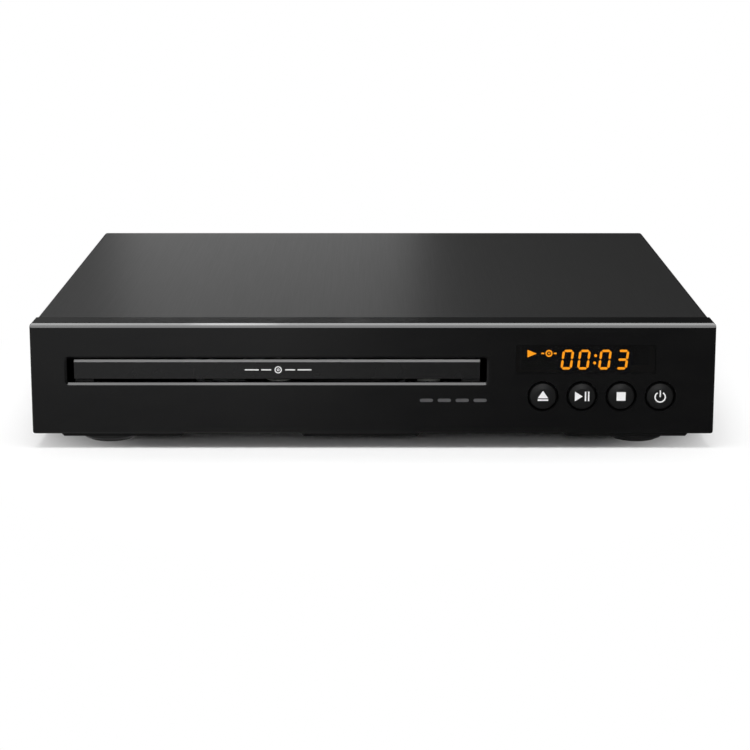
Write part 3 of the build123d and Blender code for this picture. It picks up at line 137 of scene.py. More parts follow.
top_strip = soft_box("top_strip", (-0.05, -0.165, 1.0), (0.80, 0.15), 10.5, (-0.05, -0.165, 0.0))
front_strip = soft_box("front_strip", (-0.05, -0.37, 1.0), (0.80, 0.25), 6.0, (-0.05, -0.12, 0.0))
accent = soft_box("accent_box", (-0.105, -0.20, 0.96), (0.06, 0.20), 7.0, (-0.105, -0.20, 0.0))
key = soft_box("key_box", (-0.10, 0.45, 1.0), (0.60, 0.40), 2.2, (-0.02, -0.05, 0.0))
sheen = soft_box("sheen_box", (-0.105, 1.30, 0.20), (0.29, 0.13), 1.05, (-0.03, 0.0, 0.04))
fill = soft_box("fill_box", (-0.05, -1.25, 0.36), (0.80, 0.20), 4.0, (0.0, -0.1, 0.0))
boxes = (top_strip, front_strip, accent, key, sheen, fill)
print("soft boxes", [round(lamp.data.energy, 2) for lamp in boxes])

# %% [markdown]
# ## World and floor
# The room is a pale studio. To the camera, the world and the far floor are plain white. For reflections they
# are a gradient that is brighter on the left, as the photographed front is. Near the player the floor is an
# ordinary pale surface, so it holds the soft shadow under the case.

# %% Build the world
AMBIENT = 0.46
SKY_SIDE = [(0.0, 0.95), (0.42, 0.90), (0.50, 0.40), (0.56, 0.12), (1.0, 0.10)]
SKY_HEIGHT = [(0.0, 0.16), (0.14, 0.12), (0.32, 0.16), (0.75, 0.70)]


def add_node(tree, kind, **settings):
    """A new node with its settings."""
    node = tree.nodes.new(kind)
    for key, value in settings.items():
        setattr(node, key, value)
    return node


def set_inputs(node, values):
    """Gives the node's inputs their values."""
    for name, value in values.items():
        node.inputs[name].default_value = value


def wire(tree, *rows):
    """Links from (node, output, node, input) rows."""
    for source, output, target, entry in rows:
        tree.links.new(source.outputs[output], target.inputs[entry])


def add_ramp(tree, value, stops):
    """Colour ramp through (position, grey or colour) pairs."""
    node = add_node(tree, "ShaderNodeValToRGB")
    elements = node.color_ramp.elements
    while len(elements) < len(stops):
        elements.new(0.5)
    for element, (position, tone) in zip(elements, stops):
        element.position = position
        color = (tone, tone, tone) if isinstance(tone, float) else tone
        element.color = (*color, 1.0)
    tree.links.new(value, node.inputs["Fac"])
    return node.outputs["Color"]


def build_world():
    """White to the camera, an even light on the object, and a graded sky in reflections."""
    world = bpy.data.worlds.new("studio_world")
    world.use_nodes = True
    bpy.context.scene.world = world
    tree = world.node_tree
    tree.nodes.clear()
    output = add_node(tree, "ShaderNodeOutputWorld")
    path = add_node(tree, "ShaderNodeLightPath")
    seen = add_node(tree, "ShaderNodeBackground")
    seen.inputs["Color"].default_value = (1.0, 1.0, 1.0, 1.0)
    even = add_node(tree, "ShaderNodeBackground")
    even.inputs["Color"].default_value = (AMBIENT, AMBIENT, AMBIENT, 1.0)
    place = add_node(tree, "ShaderNodeTexCoord")
    axes = add_node(tree, "ShaderNodeSeparateXYZ")
    tree.links.new(place.outputs["Generated"], axes.inputs["Vector"])
    across = add_node(tree, "ShaderNodeMapRange")
    set_inputs(across, {"From Min": -1.0, "From Max": 1.0})
    tree.links.new(axes.outputs["X"], across.inputs["Value"])
    side = add_ramp(tree, across.outputs["Result"], SKY_SIDE)
    height = add_ramp(tree, axes.outputs["Z"], SKY_HEIGHT)
    sky = add_node(tree, "ShaderNodeMix", data_type="RGBA", blend_type="MULTIPLY")
    sky.inputs["Factor"].default_value = 1.0
    tree.links.new(side, sky.inputs[6])
    tree.links.new(height, sky.inputs[7])
    mirrored = add_node(tree, "ShaderNodeBackground")
    tree.links.new(sky.outputs[2], mirrored.inputs["Color"])
    glossy = add_node(tree, "ShaderNodeMixShader")
    wire(tree, (path, "Is Glossy Ray", glossy, 0), (even, 0, glossy, 1), (mirrored, 0, glossy, 2))
    straight = add_node(tree, "ShaderNodeMath", operation="MAXIMUM")
    wire(tree, (path, "Is Camera Ray", straight, 0), (path, "Is Transmission Ray", straight, 1))
    final = add_node(tree, "ShaderNodeMixShader")
    wire(tree, (straight, 0, final, 0), (glossy, 0, final, 1), (seen, 0, final, 2),
               (final, 0, output, "Surface"))


build_world()
print("world ambient", AMBIENT)

# %% Lay the floor
FLOOR_HALF = 6.0
FLOOR_COLOR = (0.90, 0.90, 0.90, 1.0)
NEAR_RADIUS = 0.12
FAR_RADIUS = 0.20
FADE_STRETCH = (1.25, 0.85, 1.0)
CARD_SIDE = [(0.0, 0.42), (0.22, 0.46), (0.40, 0.46), (0.53, 0.22), (0.66, 0.09), (1.0, 0.07)]


def floor_material():
    """Pale matte floor near the object that fades to plain white, and a graded card in reflections."""
    material = bpy.data.materials.new("floor_paper")
    material.use_nodes = True
    tree = material.node_tree
    tree.nodes.clear()
    output = add_node(tree, "ShaderNodeOutputMaterial")
    path = add_node(tree, "ShaderNodeLightPath")
    place = add_node(tree, "ShaderNodeTexCoord")
    axes = add_node(tree, "ShaderNodeSeparateXYZ")
    tree.links.new(place.outputs["Object"], axes.inputs["Vector"])
    paper = add_node(tree, "ShaderNodeBsdfDiffuse")
    paper.inputs["Color"].default_value = FLOOR_COLOR
    white = add_node(tree, "ShaderNodeEmission")
    white.inputs["Color"].default_value = (1.0, 1.0, 1.0, 1.0)
    length = add_node(tree, "ShaderNodeVectorMath", operation="LENGTH")
    stretch = add_node(tree, "ShaderNodeVectorMath", operation="MULTIPLY")
    stretch.inputs[1].default_value = FADE_STRETCH
    wire(tree, (place, "Object", stretch, 0), (stretch, "Vector", length, 0))
    fade = add_node(tree, "ShaderNodeMapRange", interpolation_type="SMOOTHSTEP")
    set_inputs(fade, {"From Min": NEAR_RADIUS, "From Max": FAR_RADIUS})
    tree.links.new(length.outputs["Value"], fade.inputs["Value"])
    seen = add_node(tree, "ShaderNodeMixShader")
    wire(tree, (fade, "Result", seen, 0), (paper, 0, seen, 1), (white, 0, seen, 2))
    across = add_node(tree, "ShaderNodeMapRange")
    set_inputs(across, {"From Min": -0.20, "From Max": 0.20})
    tree.links.new(axes.outputs["X"], across.inputs["Value"])
    side = add_ramp(tree, across.outputs["Result"], CARD_SIDE)
    ahead = add_node(tree, "ShaderNodeMapRange", interpolation_type="SMOOTHSTEP")
    set_inputs(ahead, {"From Min": -0.10, "From Max": -0.30, "To Min": 0.62, "To Max": 1.0})
    tree.links.new(axes.outputs["Y"], ahead.inputs["Value"])
    card = add_node(tree, "ShaderNodeEmission")
    tree.links.new(side, card.inputs["Color"])
    tree.links.new(ahead.outputs["Result"], card.inputs["Strength"])
    final = add_node(tree, "ShaderNodeMixShader")
    wire(tree, (path, "Is Glossy Ray", final, 0), (seen, 0, final, 1), (card, 0, final, 2),
               (final, 0, output, "Surface"))
    return material


def lay_floor():
    """One large square at the height the feet stand on."""
    corners = [(-FLOOR_HALF, -FLOOR_HALF, 0.0), (FLOOR_HALF, -FLOOR_HALF, 0.0),
               (FLOOR_HALF, FLOOR_HALF, 0.0), (-FLOOR_HALF, FLOOR_HALF, 0.0)]
    mesh = bpy.data.meshes.new("studio_floor")
    mesh.from_pydata(corners, [], [(0, 1, 2, 3)])
    mesh.materials.append(floor_material())
    floor = linked("studio_floor", mesh)


lay_floor()
print("floor of", 2 * FLOOR_HALF, "m")

# %% [markdown]
# ## Material helpers
# Every finish here starts from the same few steps: object coordinates, a noise pattern at the real scale of
# the grain, a narrow range of tones and roughness, and a little bump. The helpers keep each finish short.
# Coordinates are in metres, so a noise scale of 1000 has features of about a millimetre.

# %% Define the material helpers


def start_finish(name):
    """New material with its tree, its shader and its object coordinates."""
    material = bpy.data.materials.new(name)
    material.use_nodes = True
    tree = material.node_tree
    shader = tree.nodes["Principled BSDF"]
    place = add_node(tree, "ShaderNodeTexCoord")
    return material, tree, shader, place.outputs["Object"]


def add_noise(tree, place, scale, detail=3.0, stretch=(1.0, 1.0, 1.0)):
    """Noise at this scale, stretched by a Mapping node where the grain has a direction."""
    mapping = add_node(tree, "ShaderNodeMapping")
    mapping.inputs["Scale"].default_value = stretch
    tree.links.new(place, mapping.inputs["Vector"])
    node = add_node(tree, "ShaderNodeTexNoise")
    set_inputs(node, {"Scale": scale, "Detail": detail})
    tree.links.new(mapping.outputs["Vector"], node.inputs["Vector"])
    return node.outputs["Fac"]


def add_range(tree, value, low, high):
    """Value from 0.3 to 0.7 spread between two numbers."""
    node = add_node(tree, "ShaderNodeMapRange")
    set_inputs(node, {"From Min": 0.3, "From Max": 0.7, "To Min": low, "To Max": high})
    tree.links.new(value, node.inputs["Value"])
    return node.outputs["Result"]


def add_bump(tree, shader, height, strength, distance):
    """Bump from a height, chained onto any bump that the shader already has."""
    node = add_node(tree, "ShaderNodeBump")
    set_inputs(node, {"Strength": strength, "Distance": distance})
    tree.links.new(height, node.inputs["Height"])
    if shader.inputs["Normal"].is_linked:
        tree.links.new(shader.inputs["Normal"].links[0].from_socket, node.inputs["Normal"])
    tree.links.new(node.outputs["Normal"], shader.inputs["Normal"])


def shade(color, factor):
    """The same colour, lighter or darker."""
    return tuple(min(1.0, channel * factor) for channel in color)


def plain_finish(name, color, roughness, scale, vary=0.15, bump=0.1, metallic=0.0, specular=0.5, detail=3.0,
                 stretch=(1.0, 1.0, 1.0), rough_vary=0.06):
    """A grained finish: tone, roughness and bump from one noise, and slow patches over it."""
    material, tree, shader, place = start_finish(name)
    grain = add_noise(tree, place, scale, detail, stretch)
    patches = add_noise(tree, place, 45.0, 2.0)
    tones = add_ramp(tree, grain, [(0.3, shade(color, 1.0 - vary)), (0.7, shade(color, 1.0 + vary))])
    tree.links.new(tones, shader.inputs["Base Color"])
    tree.links.new(add_range(tree, patches, roughness - rough_vary, roughness + rough_vary),
                   shader.inputs["Roughness"])
    set_inputs(shader, {"Metallic": metallic, "Specular IOR Level": specular})
    add_bump(tree, shader, grain, bump, 0.0001)
    return material


print("material helpers ready")

# %% [markdown]
# ## The black surfaces
# Several blacks meet on the outside. The front is a polished moulding, so it has hardly any grain and only
# faint handling marks in its roughness. The cover is sheet steel with a fine drawn texture that runs front to
# back under satin paint. The door and the buttons come from etched moulds, which leave a fine matte grain.
# The door's upper bevel has a painted highlight: its faces that look half up and forward get a lighter colour.

# %% Make the outside finishes


def gloss_moulding(name, tone, roughness, specular):
    """Polished black plastic with faint wipe marks and a trace of orange peel."""
    material, tree, shader, place = start_finish(name)
    wipe = add_noise(tree, place, 60.0, 4.0, (1.0, 1.0, 3.0))
    peel = add_noise(tree, place, 420.0, 2.0)
    tones = add_ramp(tree, wipe, [(0.3, (tone * 0.85, tone * 0.85, tone * 0.9)), (0.7, (tone * 1.15,) * 3)])
    tree.links.new(tones, shader.inputs["Base Color"])
    tree.links.new(add_range(tree, wipe, roughness * 0.8, roughness * 1.25), shader.inputs["Roughness"])
    shader.inputs["Specular IOR Level"].default_value = specular
    add_bump(tree, shader, peel, 0.05, 0.00004)
    return material


def drawn_paint(name, tone, roughness, specular):
    """Satin paint over a fine texture that is drawn front to back."""
    material, tree, shader, place = start_finish(name)
    streaks = add_noise(tree, place, 1.0, 3.0, (5200.0, 26.0, 5200.0))
    weave = add_noise(tree, place, 1.0, 2.0, (900.0, 900.0, 900.0))
    tones = add_ramp(tree, streaks, [(0.3, (tone * 0.92,) * 3), (0.7, (tone * 1.08,) * 3)])
    tree.links.new(tones, shader.inputs["Base Color"])
    tree.links.new(add_range(tree, streaks, roughness - 0.013, roughness + 0.018), shader.inputs["Roughness"])
    shader.inputs["Specular IOR Level"].default_value = specular
    add_bump(tree, shader, streaks, 0.02, 0.00002)
    add_bump(tree, shader, weave, 0.03, 0.00003)
    return material


def painted_bevel_highlight(tree, tones, bevel_highlight_tone):
    """The tones, with a painted highlight: a lighter tone on faces that look half up and half forward."""
    geometry = add_node(tree, "ShaderNodeNewGeometry")
    half_up = add_node(tree, "ShaderNodeVectorMath", operation="DOT_PRODUCT")
    half_up.inputs[1].default_value = (0.0, -math.sqrt(0.5), math.sqrt(0.5))
    tree.links.new(geometry.outputs["True Normal"], half_up.inputs[0])
    # Painted highlight: faces that look half up and half forward get a lighter base colour.
    highlight_mask = add_node(tree, "ShaderNodeMath", operation="GREATER_THAN")
    highlight_mask.inputs[1].default_value = 0.95
    tree.links.new(half_up.outputs["Value"], highlight_mask.inputs[0])
    mix = add_node(tree, "ShaderNodeMix", data_type="RGBA")
    mix.inputs[7].default_value = (bevel_highlight_tone, bevel_highlight_tone, bevel_highlight_tone, 1.0)
    tree.links.new(highlight_mask.outputs[0], mix.inputs["Factor"])
    tree.links.new(tones, mix.inputs[6])
    return mix.outputs[2]


def etched_moulding(name, tone, roughness, specular, bevel_highlight_tone=None):
    """Black plastic from an etched mould, with a fine even grain and, if asked, a painted highlight on its upper
    bevel.
    """
    material, tree, shader, place = start_finish(name)
    grain = add_noise(tree, place, 3800.0, 2.0)
    handled = add_noise(tree, place, 90.0, 3.0)
    tones = add_ramp(tree, grain, [(0.3, (tone * 0.88,) * 3), (0.7, (tone * 1.12, tone * 1.12, tone * 1.15))])
    if bevel_highlight_tone is None:
        tree.links.new(tones, shader.inputs["Base Color"])
    else:
        tree.links.new(painted_bevel_highlight(tree, tones, bevel_highlight_tone), shader.inputs["Base Color"])
    tree.links.new(add_range(tree, handled, roughness - 0.04, roughness + 0.04), shader.inputs["Roughness"])
    shader.inputs["Specular IOR Level"].default_value = specular
    add_bump(tree, shader, grain, 0.10, 0.00003)
    return material


def smoked_window():
    """Dark clear plastic: mostly black, so that only lit bars show through."""
    material, tree, shader, place = start_finish("window_smoke")
    haze = add_noise(tree, place, 70.0, 3.0)
    tones = add_ramp(tree, haze, [(0.3, 0.0035), (0.7, 0.0048)])
    tree.links.new(tones, shader.inputs["Base Color"])
    tree.links.new(add_range(tree, haze, 0.07, 0.10), shader.inputs["Roughness"])
    set_inputs(shader, {"Specular IOR Level": 0.38, "Alpha": 0.75})
    return material


finishes = {
    "panel_gloss": gloss_moulding("panel_gloss", 0.0045, 0.085, 0.38),
    "cover_paint": drawn_paint("cover_paint", 0.017, 0.32, 0.34),
    "rear_paint": drawn_paint("rear_paint", 0.018, 0.42, 0.35),
    "base_paint": plain_finish("base_paint", (0.007, 0.007, 0.007), 0.60, 1800.0, specular=0.12),
    # The door's last number is the tone of the painted highlight on its upper bevel.
    "door_satin": etched_moulding("door_satin", 0.010, 0.26, 0.42, 0.55),
    "button_satin": etched_moulding("button_satin", 0.009, 0.30, 0.42),
    "window_smoke": smoked_window(),
}
print("outside finishes", sorted(finishes))

# %% [markdown]
# ## Metals
# Zinc on the sheets inside grows as crystals, which show as a patchwork of slightly different greys. Voronoi
# cells make that spangle. Turned cans and rods have fine lines instead.

# %% Make the metals


def spangled_zinc():
    """Galvanised sheet with crystal patches."""
    material, tree, shader, place = start_finish("zinc_sheet")
    cells = add_node(tree, "ShaderNodeTexVoronoi")
    cells.inputs["Scale"].default_value = 210.0
    tree.links.new(place, cells.inputs["Vector"])
    grey = add_node(tree, "ShaderNodeSeparateColor")
    tree.links.new(cells.outputs["Color"], grey.inputs["Color"])
    tones = add_ramp(tree, grey.outputs["Red"], [(0.0, (0.46, 0.47, 0.48)), (1.0, (0.62, 0.63, 0.64))])
    tree.links.new(tones, shader.inputs["Base Color"])
    tree.links.new(add_range(tree, grey.outputs["Green"], 0.30, 0.46), shader.inputs["Roughness"])
    shader.inputs["Metallic"].default_value = 1.0
    fine = add_noise(tree, place, 1800.0, 2.0)
    add_bump(tree, shader, fine, 0.10, 0.00003)
    return material


def lined_metal(name, color, roughness, stretch, bump=0.12):
    """Metal with fine machining lines across the stretched direction."""
    return plain_finish(name, color, roughness, 1.0, vary=0.08, bump=bump, metallic=1.0, stretch=stretch)


TURNED = (120.0, 120.0, 5200.0)
DRAWN_Y = (5200.0, 60.0, 5200.0)
finishes.update({
    "zinc_sheet": spangled_zinc(),
    "motor_can": lined_metal("motor_can", (0.60, 0.60, 0.61), 0.30, TURNED),
    "rod_steel": lined_metal("rod_steel", (0.70, 0.70, 0.71), 0.14, DRAWN_Y, 0.05),
    "plated": lined_metal("plated", (0.74, 0.73, 0.70), 0.18, DRAWN_Y, 0.06),
    "screw_zinc": lined_metal("screw_zinc", (0.62, 0.62, 0.58), 0.30, TURNED),
    "screw_black": plain_finish("screw_black", (0.030, 0.030, 0.032), 0.34, 1500.0, metallic=0.6),
    "sink_alu": lined_metal("sink_alu", (0.66, 0.67, 0.69), 0.34, DRAWN_Y),
})
print("finishes so far", len(finishes))

# %% [markdown]
# ## Plastics, rubber and small parts
# The inside is a collection of ordinary trade materials: black loader mouldings, white and grey acetal gears,
# coloured insulators, wound ferrite and green and tan boards. Each gets its own tone and grain. The boards get
# their copper tracks as a brick pattern under the lacquer.

# %% Make the inner finishes


def lacquered_board(name, base, track, scale):
    """Circuit board whose tracks show as lighter lines under the lacquer."""
    material, tree, shader, place = start_finish(name)
    tracks = add_node(tree, "ShaderNodeTexBrick", offset=0.37, squash=1.6)
    set_inputs(tracks, {"Scale": scale, "Mortar Size": 0.045, "Color1": (*base, 1.0),
                        "Color2": (*shade(base, 0.86), 1.0), "Mortar": (*track, 1.0)})
    tree.links.new(place, tracks.inputs["Vector"])
    tree.links.new(tracks.outputs["Color"], shader.inputs["Base Color"])
    fibre = add_noise(tree, place, 900.0, 3.0)
    tree.links.new(add_range(tree, fibre, 0.26, 0.42), shader.inputs["Roughness"])
    add_bump(tree, shader, tracks.outputs["Fac"], 0.35, 0.00004)
    return material


def clear_glass(name, color, roughness):
    """Clear part with a faint coating colour."""
    material, tree, shader, place = start_finish(name)
    haze = add_noise(tree, place, 500.0, 2.0)
    tones = add_ramp(tree, haze, [(0.3, shade(color, 0.95)), (0.7, color)])
    tree.links.new(tones, shader.inputs["Base Color"])
    tree.links.new(add_range(tree, haze, roughness, roughness * 1.6), shader.inputs["Roughness"])
    shader.inputs["Transmission Weight"].default_value = 0.85
    return material


def striped_cable():
    """Flat cable whose conductors show as grey lines."""
    material, tree, shader, place = start_finish("ribbon_white")
    lines = add_node(tree, "ShaderNodeTexWave", wave_type="BANDS", bands_direction="X")
    lines.inputs["Scale"].default_value = 310.0
    tree.links.new(place, lines.inputs["Vector"])
    tones = add_ramp(tree, lines.outputs["Fac"], [(0.25, (0.50, 0.50, 0.50)), (0.5, (0.80, 0.80, 0.78))])
    tree.links.new(tones, shader.inputs["Base Color"])
    tree.links.new(add_range(tree, lines.outputs["Fac"], 0.30, 0.42), shader.inputs["Roughness"])
    add_bump(tree, shader, lines.outputs["Fac"], 0.3, 0.00005)
    return material


MATTE_GRAINS = {
    "tray_plastic": ((0.022, 0.022, 0.023), 0.42, 2600.0),
    "loader_plastic": ((0.040, 0.040, 0.042), 0.50, 1800.0),
    "gear_white": ((0.80, 0.80, 0.77), 0.36, 900.0),
    "gear_grey": ((0.40, 0.41, 0.43), 0.38, 900.0),
    "foot_plastic": ((0.012, 0.012, 0.012), 0.36, 1500.0),
    "foot_rubber": ((0.035, 0.035, 0.035), 0.72, 2200.0),
    "belt_rubber": ((0.025, 0.025, 0.025), 0.60, 2200.0),
    "chip_black": ((0.030, 0.030, 0.032), 0.46, 3000.0),
    "display_case": ((0.006, 0.006, 0.006), 0.30, 1200.0),
    "inlet_black": ((0.018, 0.018, 0.018), 0.40, 2400.0),
    "magnet": ((0.10, 0.10, 0.11), 0.48, 1600.0),
    "core_ferrite": ((0.10, 0.09, 0.085), 0.52, 1400.0),
    "cap_sleeve": ((0.030, 0.050, 0.14), 0.26, 700.0),
    "lead_red": ((0.42, 0.035, 0.03), 0.34, 900.0),
    "jack_yellow": ((0.80, 0.58, 0.03), 0.30, 900.0),
    "jack_white": ((0.82, 0.82, 0.80), 0.32, 900.0),
    "jack_red": ((0.55, 0.02, 0.025), 0.30, 900.0),
    "jack_orange": ((0.80, 0.24, 0.02), 0.30, 900.0),
}
for slot, (color, roughness, scale) in MATTE_GRAINS.items():
    finishes[slot] = plain_finish(slot, color, roughness, scale)
finishes.update({
    "board_green": lacquered_board("board_green", (0.030, 0.150, 0.065), (0.060, 0.230, 0.100), 150.0),
    "board_tan": lacquered_board("board_tan", (0.42, 0.29, 0.14), (0.52, 0.38, 0.20), 110.0),
    "lens_glass": clear_glass("lens_glass", (0.70, 0.76, 0.95), 0.03),
    "fuse_glass": clear_glass("fuse_glass", (0.82, 0.88, 0.88), 0.06),
    "ribbon_white": striped_cable(),
})
print("inner finishes", len(MATTE_GRAINS) + 5)

# %% [markdown]
# ## The lit amber
# The display glows behind the smoked window. The strength allows for the light that the dark window holds
# back. It counts for the camera alone, so that the gloss around the window doesn't mirror the digits.

# %% Make the lit finish
AMBER = (1.0, 0.345, 0.012, 1.0)
LIT_STRENGTH = 16.0


def lit_amber():
    """Glowing amber film with a slightly uneven surface."""
    material, tree, shader, place = start_finish("display_amber")
    film = add_noise(tree, place, 1500.0, 2.0)
    tree.links.new(add_range(tree, film, 0.3, 0.5), shader.inputs["Roughness"])
    tones = add_ramp(tree, film, [(0.3, (0.75, 0.22, 0.01)), (0.7, (0.90, 0.30, 0.015))])
    tree.links.new(tones, shader.inputs["Base Color"])
    shader.inputs["Emission Color"].default_value = AMBER
    path = add_node(tree, "ShaderNodeLightPath")
    direct = add_node(tree, "ShaderNodeMath", operation="MULTIPLY")
    direct.inputs[1].default_value = LIT_STRENGTH
    wire(tree, (path, "Is Camera Ray", direct, 0), (direct, 0, shader, "Emission Strength"))
    return material


finishes["display_amber"] = lit_amber()
finishes["unlit_bars"] = plain_finish("unlit_bars", (0.0075, 0.007, 0.0065), 0.35, 1500.0)
finishes["print_white"] = plain_finish("print_white", (0.88, 0.88, 0.88), 0.45, 2500.0, vary=0.03)
print("all finishes", len(finishes))

# %% Give each solid its finish


def dress_nodes():
    """Hands each CAD node the finish of its material slot."""
    dressed = 0
    for part in frame["record"]["subparts"]:
        solid = nodes[part["node"]]
        finish = finishes[part["material_slot"]]
        if not solid.material_slots:
            solid.data.materials.append(finish)
        for slot in solid.material_slots:
            slot.material = finish
        dressed += 1
    return dressed


print("dressed", dress_nodes(), "nodes")

# %% [markdown]
# ## The shell's finer shape
# Seen closely, the front has a deeper ledge over it, tighter corners, a bevel of two facets, a hairline
# groove behind the bevel and small chamfers round its face, and the sheet metal stands closer to its width.
# These forms are made on copies of the solids. The steel base is painted black, as its pads are below the
# front. The display also moves up to its window.

# %% Reshape the shell
LEDGE_SHIFT = 3.0 * MM
WIDEN = 0.5 * MM
SIDE_LIMIT = 109.5 * MM
OLD_LEDGE = 8.5 * MM
OLD_BEVEL = 1.3 * MM
OLD_CORNER = 1.8 * MM
EDGE_CUT = 0.42 * MM
BEVEL_PUSH = 0.06 * MM
GROOVE_PLACE = (1.65 * MM, 2.45 * MM)
GROOVE_SINK = 0.35 * MM
SHARP_ANGLE = math.radians(32.0)
SAME_WAY = 0.99
SMALL_FACE = 6.0 * MM * MM
TINY = 0.02 * MM
LEDGE_TAPER = 0.6 * MM
HOLE_REACH = 6.2 * MM
MODULE_DEPTH = 5.5 * MM
FILM_PLACE = (3.6 * MM, 3.9 * MM)
HOLE_SHARPEN = 0.22 * MM
panel_low, panel_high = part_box("front_panel")
button_boxes = [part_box(name + "_button") for name in ("eject", "play", "stop", "power")]
button_centres = [((low.x + high.x) / 2, (low.z + high.z) / 2) for low, high in button_boxes]


def add_piece(name, mesh, finish, body):
    """Object at the origin with this mesh, finish and body."""
    mesh.materials.clear()
    mesh.materials.append(finish)
    piece = linked(name, mesh)
    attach(piece, body)
    return piece


def moved_copy(node, name, finish, move):
    """Takes the node's place with a copy whose corners are moved."""
    solid = nodes[node]
    mesh = solid.data.copy()
    mesh.transform(solid.matrix_world)
    for vertex in mesh.vertices:
        vertex.co = move(vertex.co)
    mesh.update()
    piece = add_piece(name, mesh, finish, "case")
    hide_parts(node)
    return piece


def widened(point):
    """Moves the outer sides outwards."""
    if abs(point.x) > SIDE_LIMIT:
        point.x += math.copysign(WIDEN, point.x)
    return point


def cover_point(point):
    """The cover is wider and starts behind the deeper ledge."""
    if abs(point.y - panel_low.y - OLD_LEDGE) < 0.2 * MM:
        point.y += LEDGE_SHIFT
    return widened(point)


def module_point(point):
    """The display's face comes up to the window."""
    if point.y < panel_low.y + MODULE_DEPTH:
        point.y = panel_low.y + FILM_PLACE[1]
    return point


def panel_point(point):
    """Deeper ledge, thinner sides and tighter corners."""
    if abs(point.y - panel_low.y - OLD_LEDGE) < TINY:
        point.y += LEDGE_SHIFT
    if abs(abs(point.x) - panel_high.x + OLD_CORNER) < TINY and point.z < panel_high.z - TINY:
        point.x += math.copysign(WIDEN, point.x)
    corner_x = panel_high.x - abs(point.x)
    corner_z = panel_high.z - point.z
    at_corner = corner_x < OLD_CORNER + TINY and corner_z < OLD_CORNER + TINY
    if at_corner and abs(point.y - panel_low.y) < TINY:
        point.x = math.copysign(panel_high.x, point.x)
    elif at_corner:
        point.x = math.copysign(panel_high.x - corner_x / 2, point.x)
        point.z = panel_high.z - corner_z / 2
        if point.y < panel_low.y + OLD_BEVEL + TINY:
            point.y = max(panel_low.y, panel_low.y + OLD_BEVEL - (panel_high.z - point.z))
    if abs(point.y - panel_low.y - OLD_LEDGE - LEDGE_SHIFT) < TINY and abs(point.x) > SIDE_LIMIT:
        point.x = math.copysign(min(abs(point.x), panel_high.x - LEDGE_TAPER), point.x)
    for centre in button_centres:
        away = Vector((point.x - centre[0], 0.0, point.z - centre[1]))
        if abs(point.y - panel_low.y) < TINY and away.length < HOLE_REACH:
            point -= away.normalized() * HOLE_SHARPEN
    return point


def cut_corner(builder, place, normal):
    """Cuts off what lies outside a plane and closes the cut."""
    everything = builder.verts[:] + builder.edges[:] + builder.faces[:]
    cut = bmesh.ops.bisect_plane(builder, geom=everything, plane_co=place, plane_no=normal, clear_outer=True)
    rim = [item for item in cut["geom_cut"] if isinstance(item, bmesh.types.BMEdge)]
    bmesh.ops.edgeloop_fill(builder, edges=rim)


def split_faces(builder, keep, place, normal):
    """Splits the chosen faces along a plane and returns the corners on it."""
    faces = [face for face in builder.faces if keep(face)]
    edges = {edge for face in faces for edge in face.edges}
    corners = {corner for face in faces for corner in face.verts}
    cut = bmesh.ops.bisect_plane(builder, geom=faces + list(edges) + list(corners), plane_co=place,
                                 plane_no=normal, dist=1e-7)
    return [item for item in cut["geom_cut"] if isinstance(item, bmesh.types.BMVert)]


def reshape_panel():
    """The front panel with its fine edges."""
    solid = nodes["front_panel"]
    builder = bmesh.new()
    builder.from_mesh(solid.data)
    builder.transform(solid.matrix_world)
    bmesh.ops.remove_doubles(builder, verts=builder.verts, dist=1e-6)
    for corner in builder.verts:
        corner.co = panel_point(corner.co)
    slant = Vector((0.0, -math.sqrt(0.5), math.sqrt(0.5)))
    middle = Vector((0.0, panel_low.y + OLD_BEVEL / 2, panel_high.z - OLD_BEVEL / 2))
    bevel_low = panel_high.z - 2.0 * MM

    def on_bevel(face):
        return face.normal.dot(slant) > SAME_WAY and face.calc_center_median().z > bevel_low

    def on_top(face):
        return face.normal.z > SAME_WAY and face.calc_center_median().z > panel_high.z - TINY

    for corner in split_faces(builder, on_bevel, middle, Vector((0.0, 1.0, 1.0))):
        corner.co += slant * BEVEL_PUSH
    near, far = (panel_low.y + offset for offset in GROOVE_PLACE)
    for depth in (near, far):
        split_faces(builder, on_top, Vector((0.0, depth, 0.0)), Vector((0.0, 1.0, 0.0)))
    floor_faces = [face for face in builder.faces if on_top(face) and near < face.calc_center_median().y < far]
    sunk = bmesh.ops.extrude_face_region(builder, geom=floor_faces)
    bmesh.ops.translate(builder, vec=(0.0, 0.0, -GROOVE_SINK),
                        verts=[item for item in sunk["geom"] if isinstance(item, bmesh.types.BMVert)])
    bmesh.ops.delete(builder, geom=[face for face in floor_faces if face.is_valid], context="FACES_ONLY")
    for side in (-1, 1):
        cut_corner(builder, (side * (panel_high.x - EDGE_CUT / 2), panel_low.y + EDGE_CUT / 2, 0.0),
                   (side, -1.0, 0.0))
    cut_corner(builder, (0.0, panel_low.y + EDGE_CUT / 2, panel_low.z + EDGE_CUT / 2), (0.0, -1.0, -1.0))
    for face in builder.faces:
        face.smooth = face.calc_area() < SMALL_FACE
    for edge in builder.edges:
        edge.smooth = edge.calc_face_angle(0.0) < SHARP_ANGLE
    mesh = mesh_from(builder, "fine_panel")
    piece = add_piece("fine_panel", mesh, finishes["panel_gloss"], "case")
    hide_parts("front_panel")
    return piece


print("panel faces", len(reshape_panel().data.polygons))
moved_copy("top_cover", "fitted_cover", finishes["cover_paint"], cover_point)
moved_copy("rear_panel", "fitted_rear", finishes["rear_paint"], widened)
moved_copy("base_chassis", "painted_base", finishes["base_paint"], widened)
moved_copy("display_module", "fitted_module", finishes["display_case"], module_point)

# %% [markdown]
# ## Thin shapes on a face
# Prints, inlays and light bars are all flat outlines with a little thickness, seen from the front. One helper
# turns outlines in the X and Z directions into a closed piece between two depths. Outlines may have holes when
# they are given as rings.

# %% Define the flat piece helper


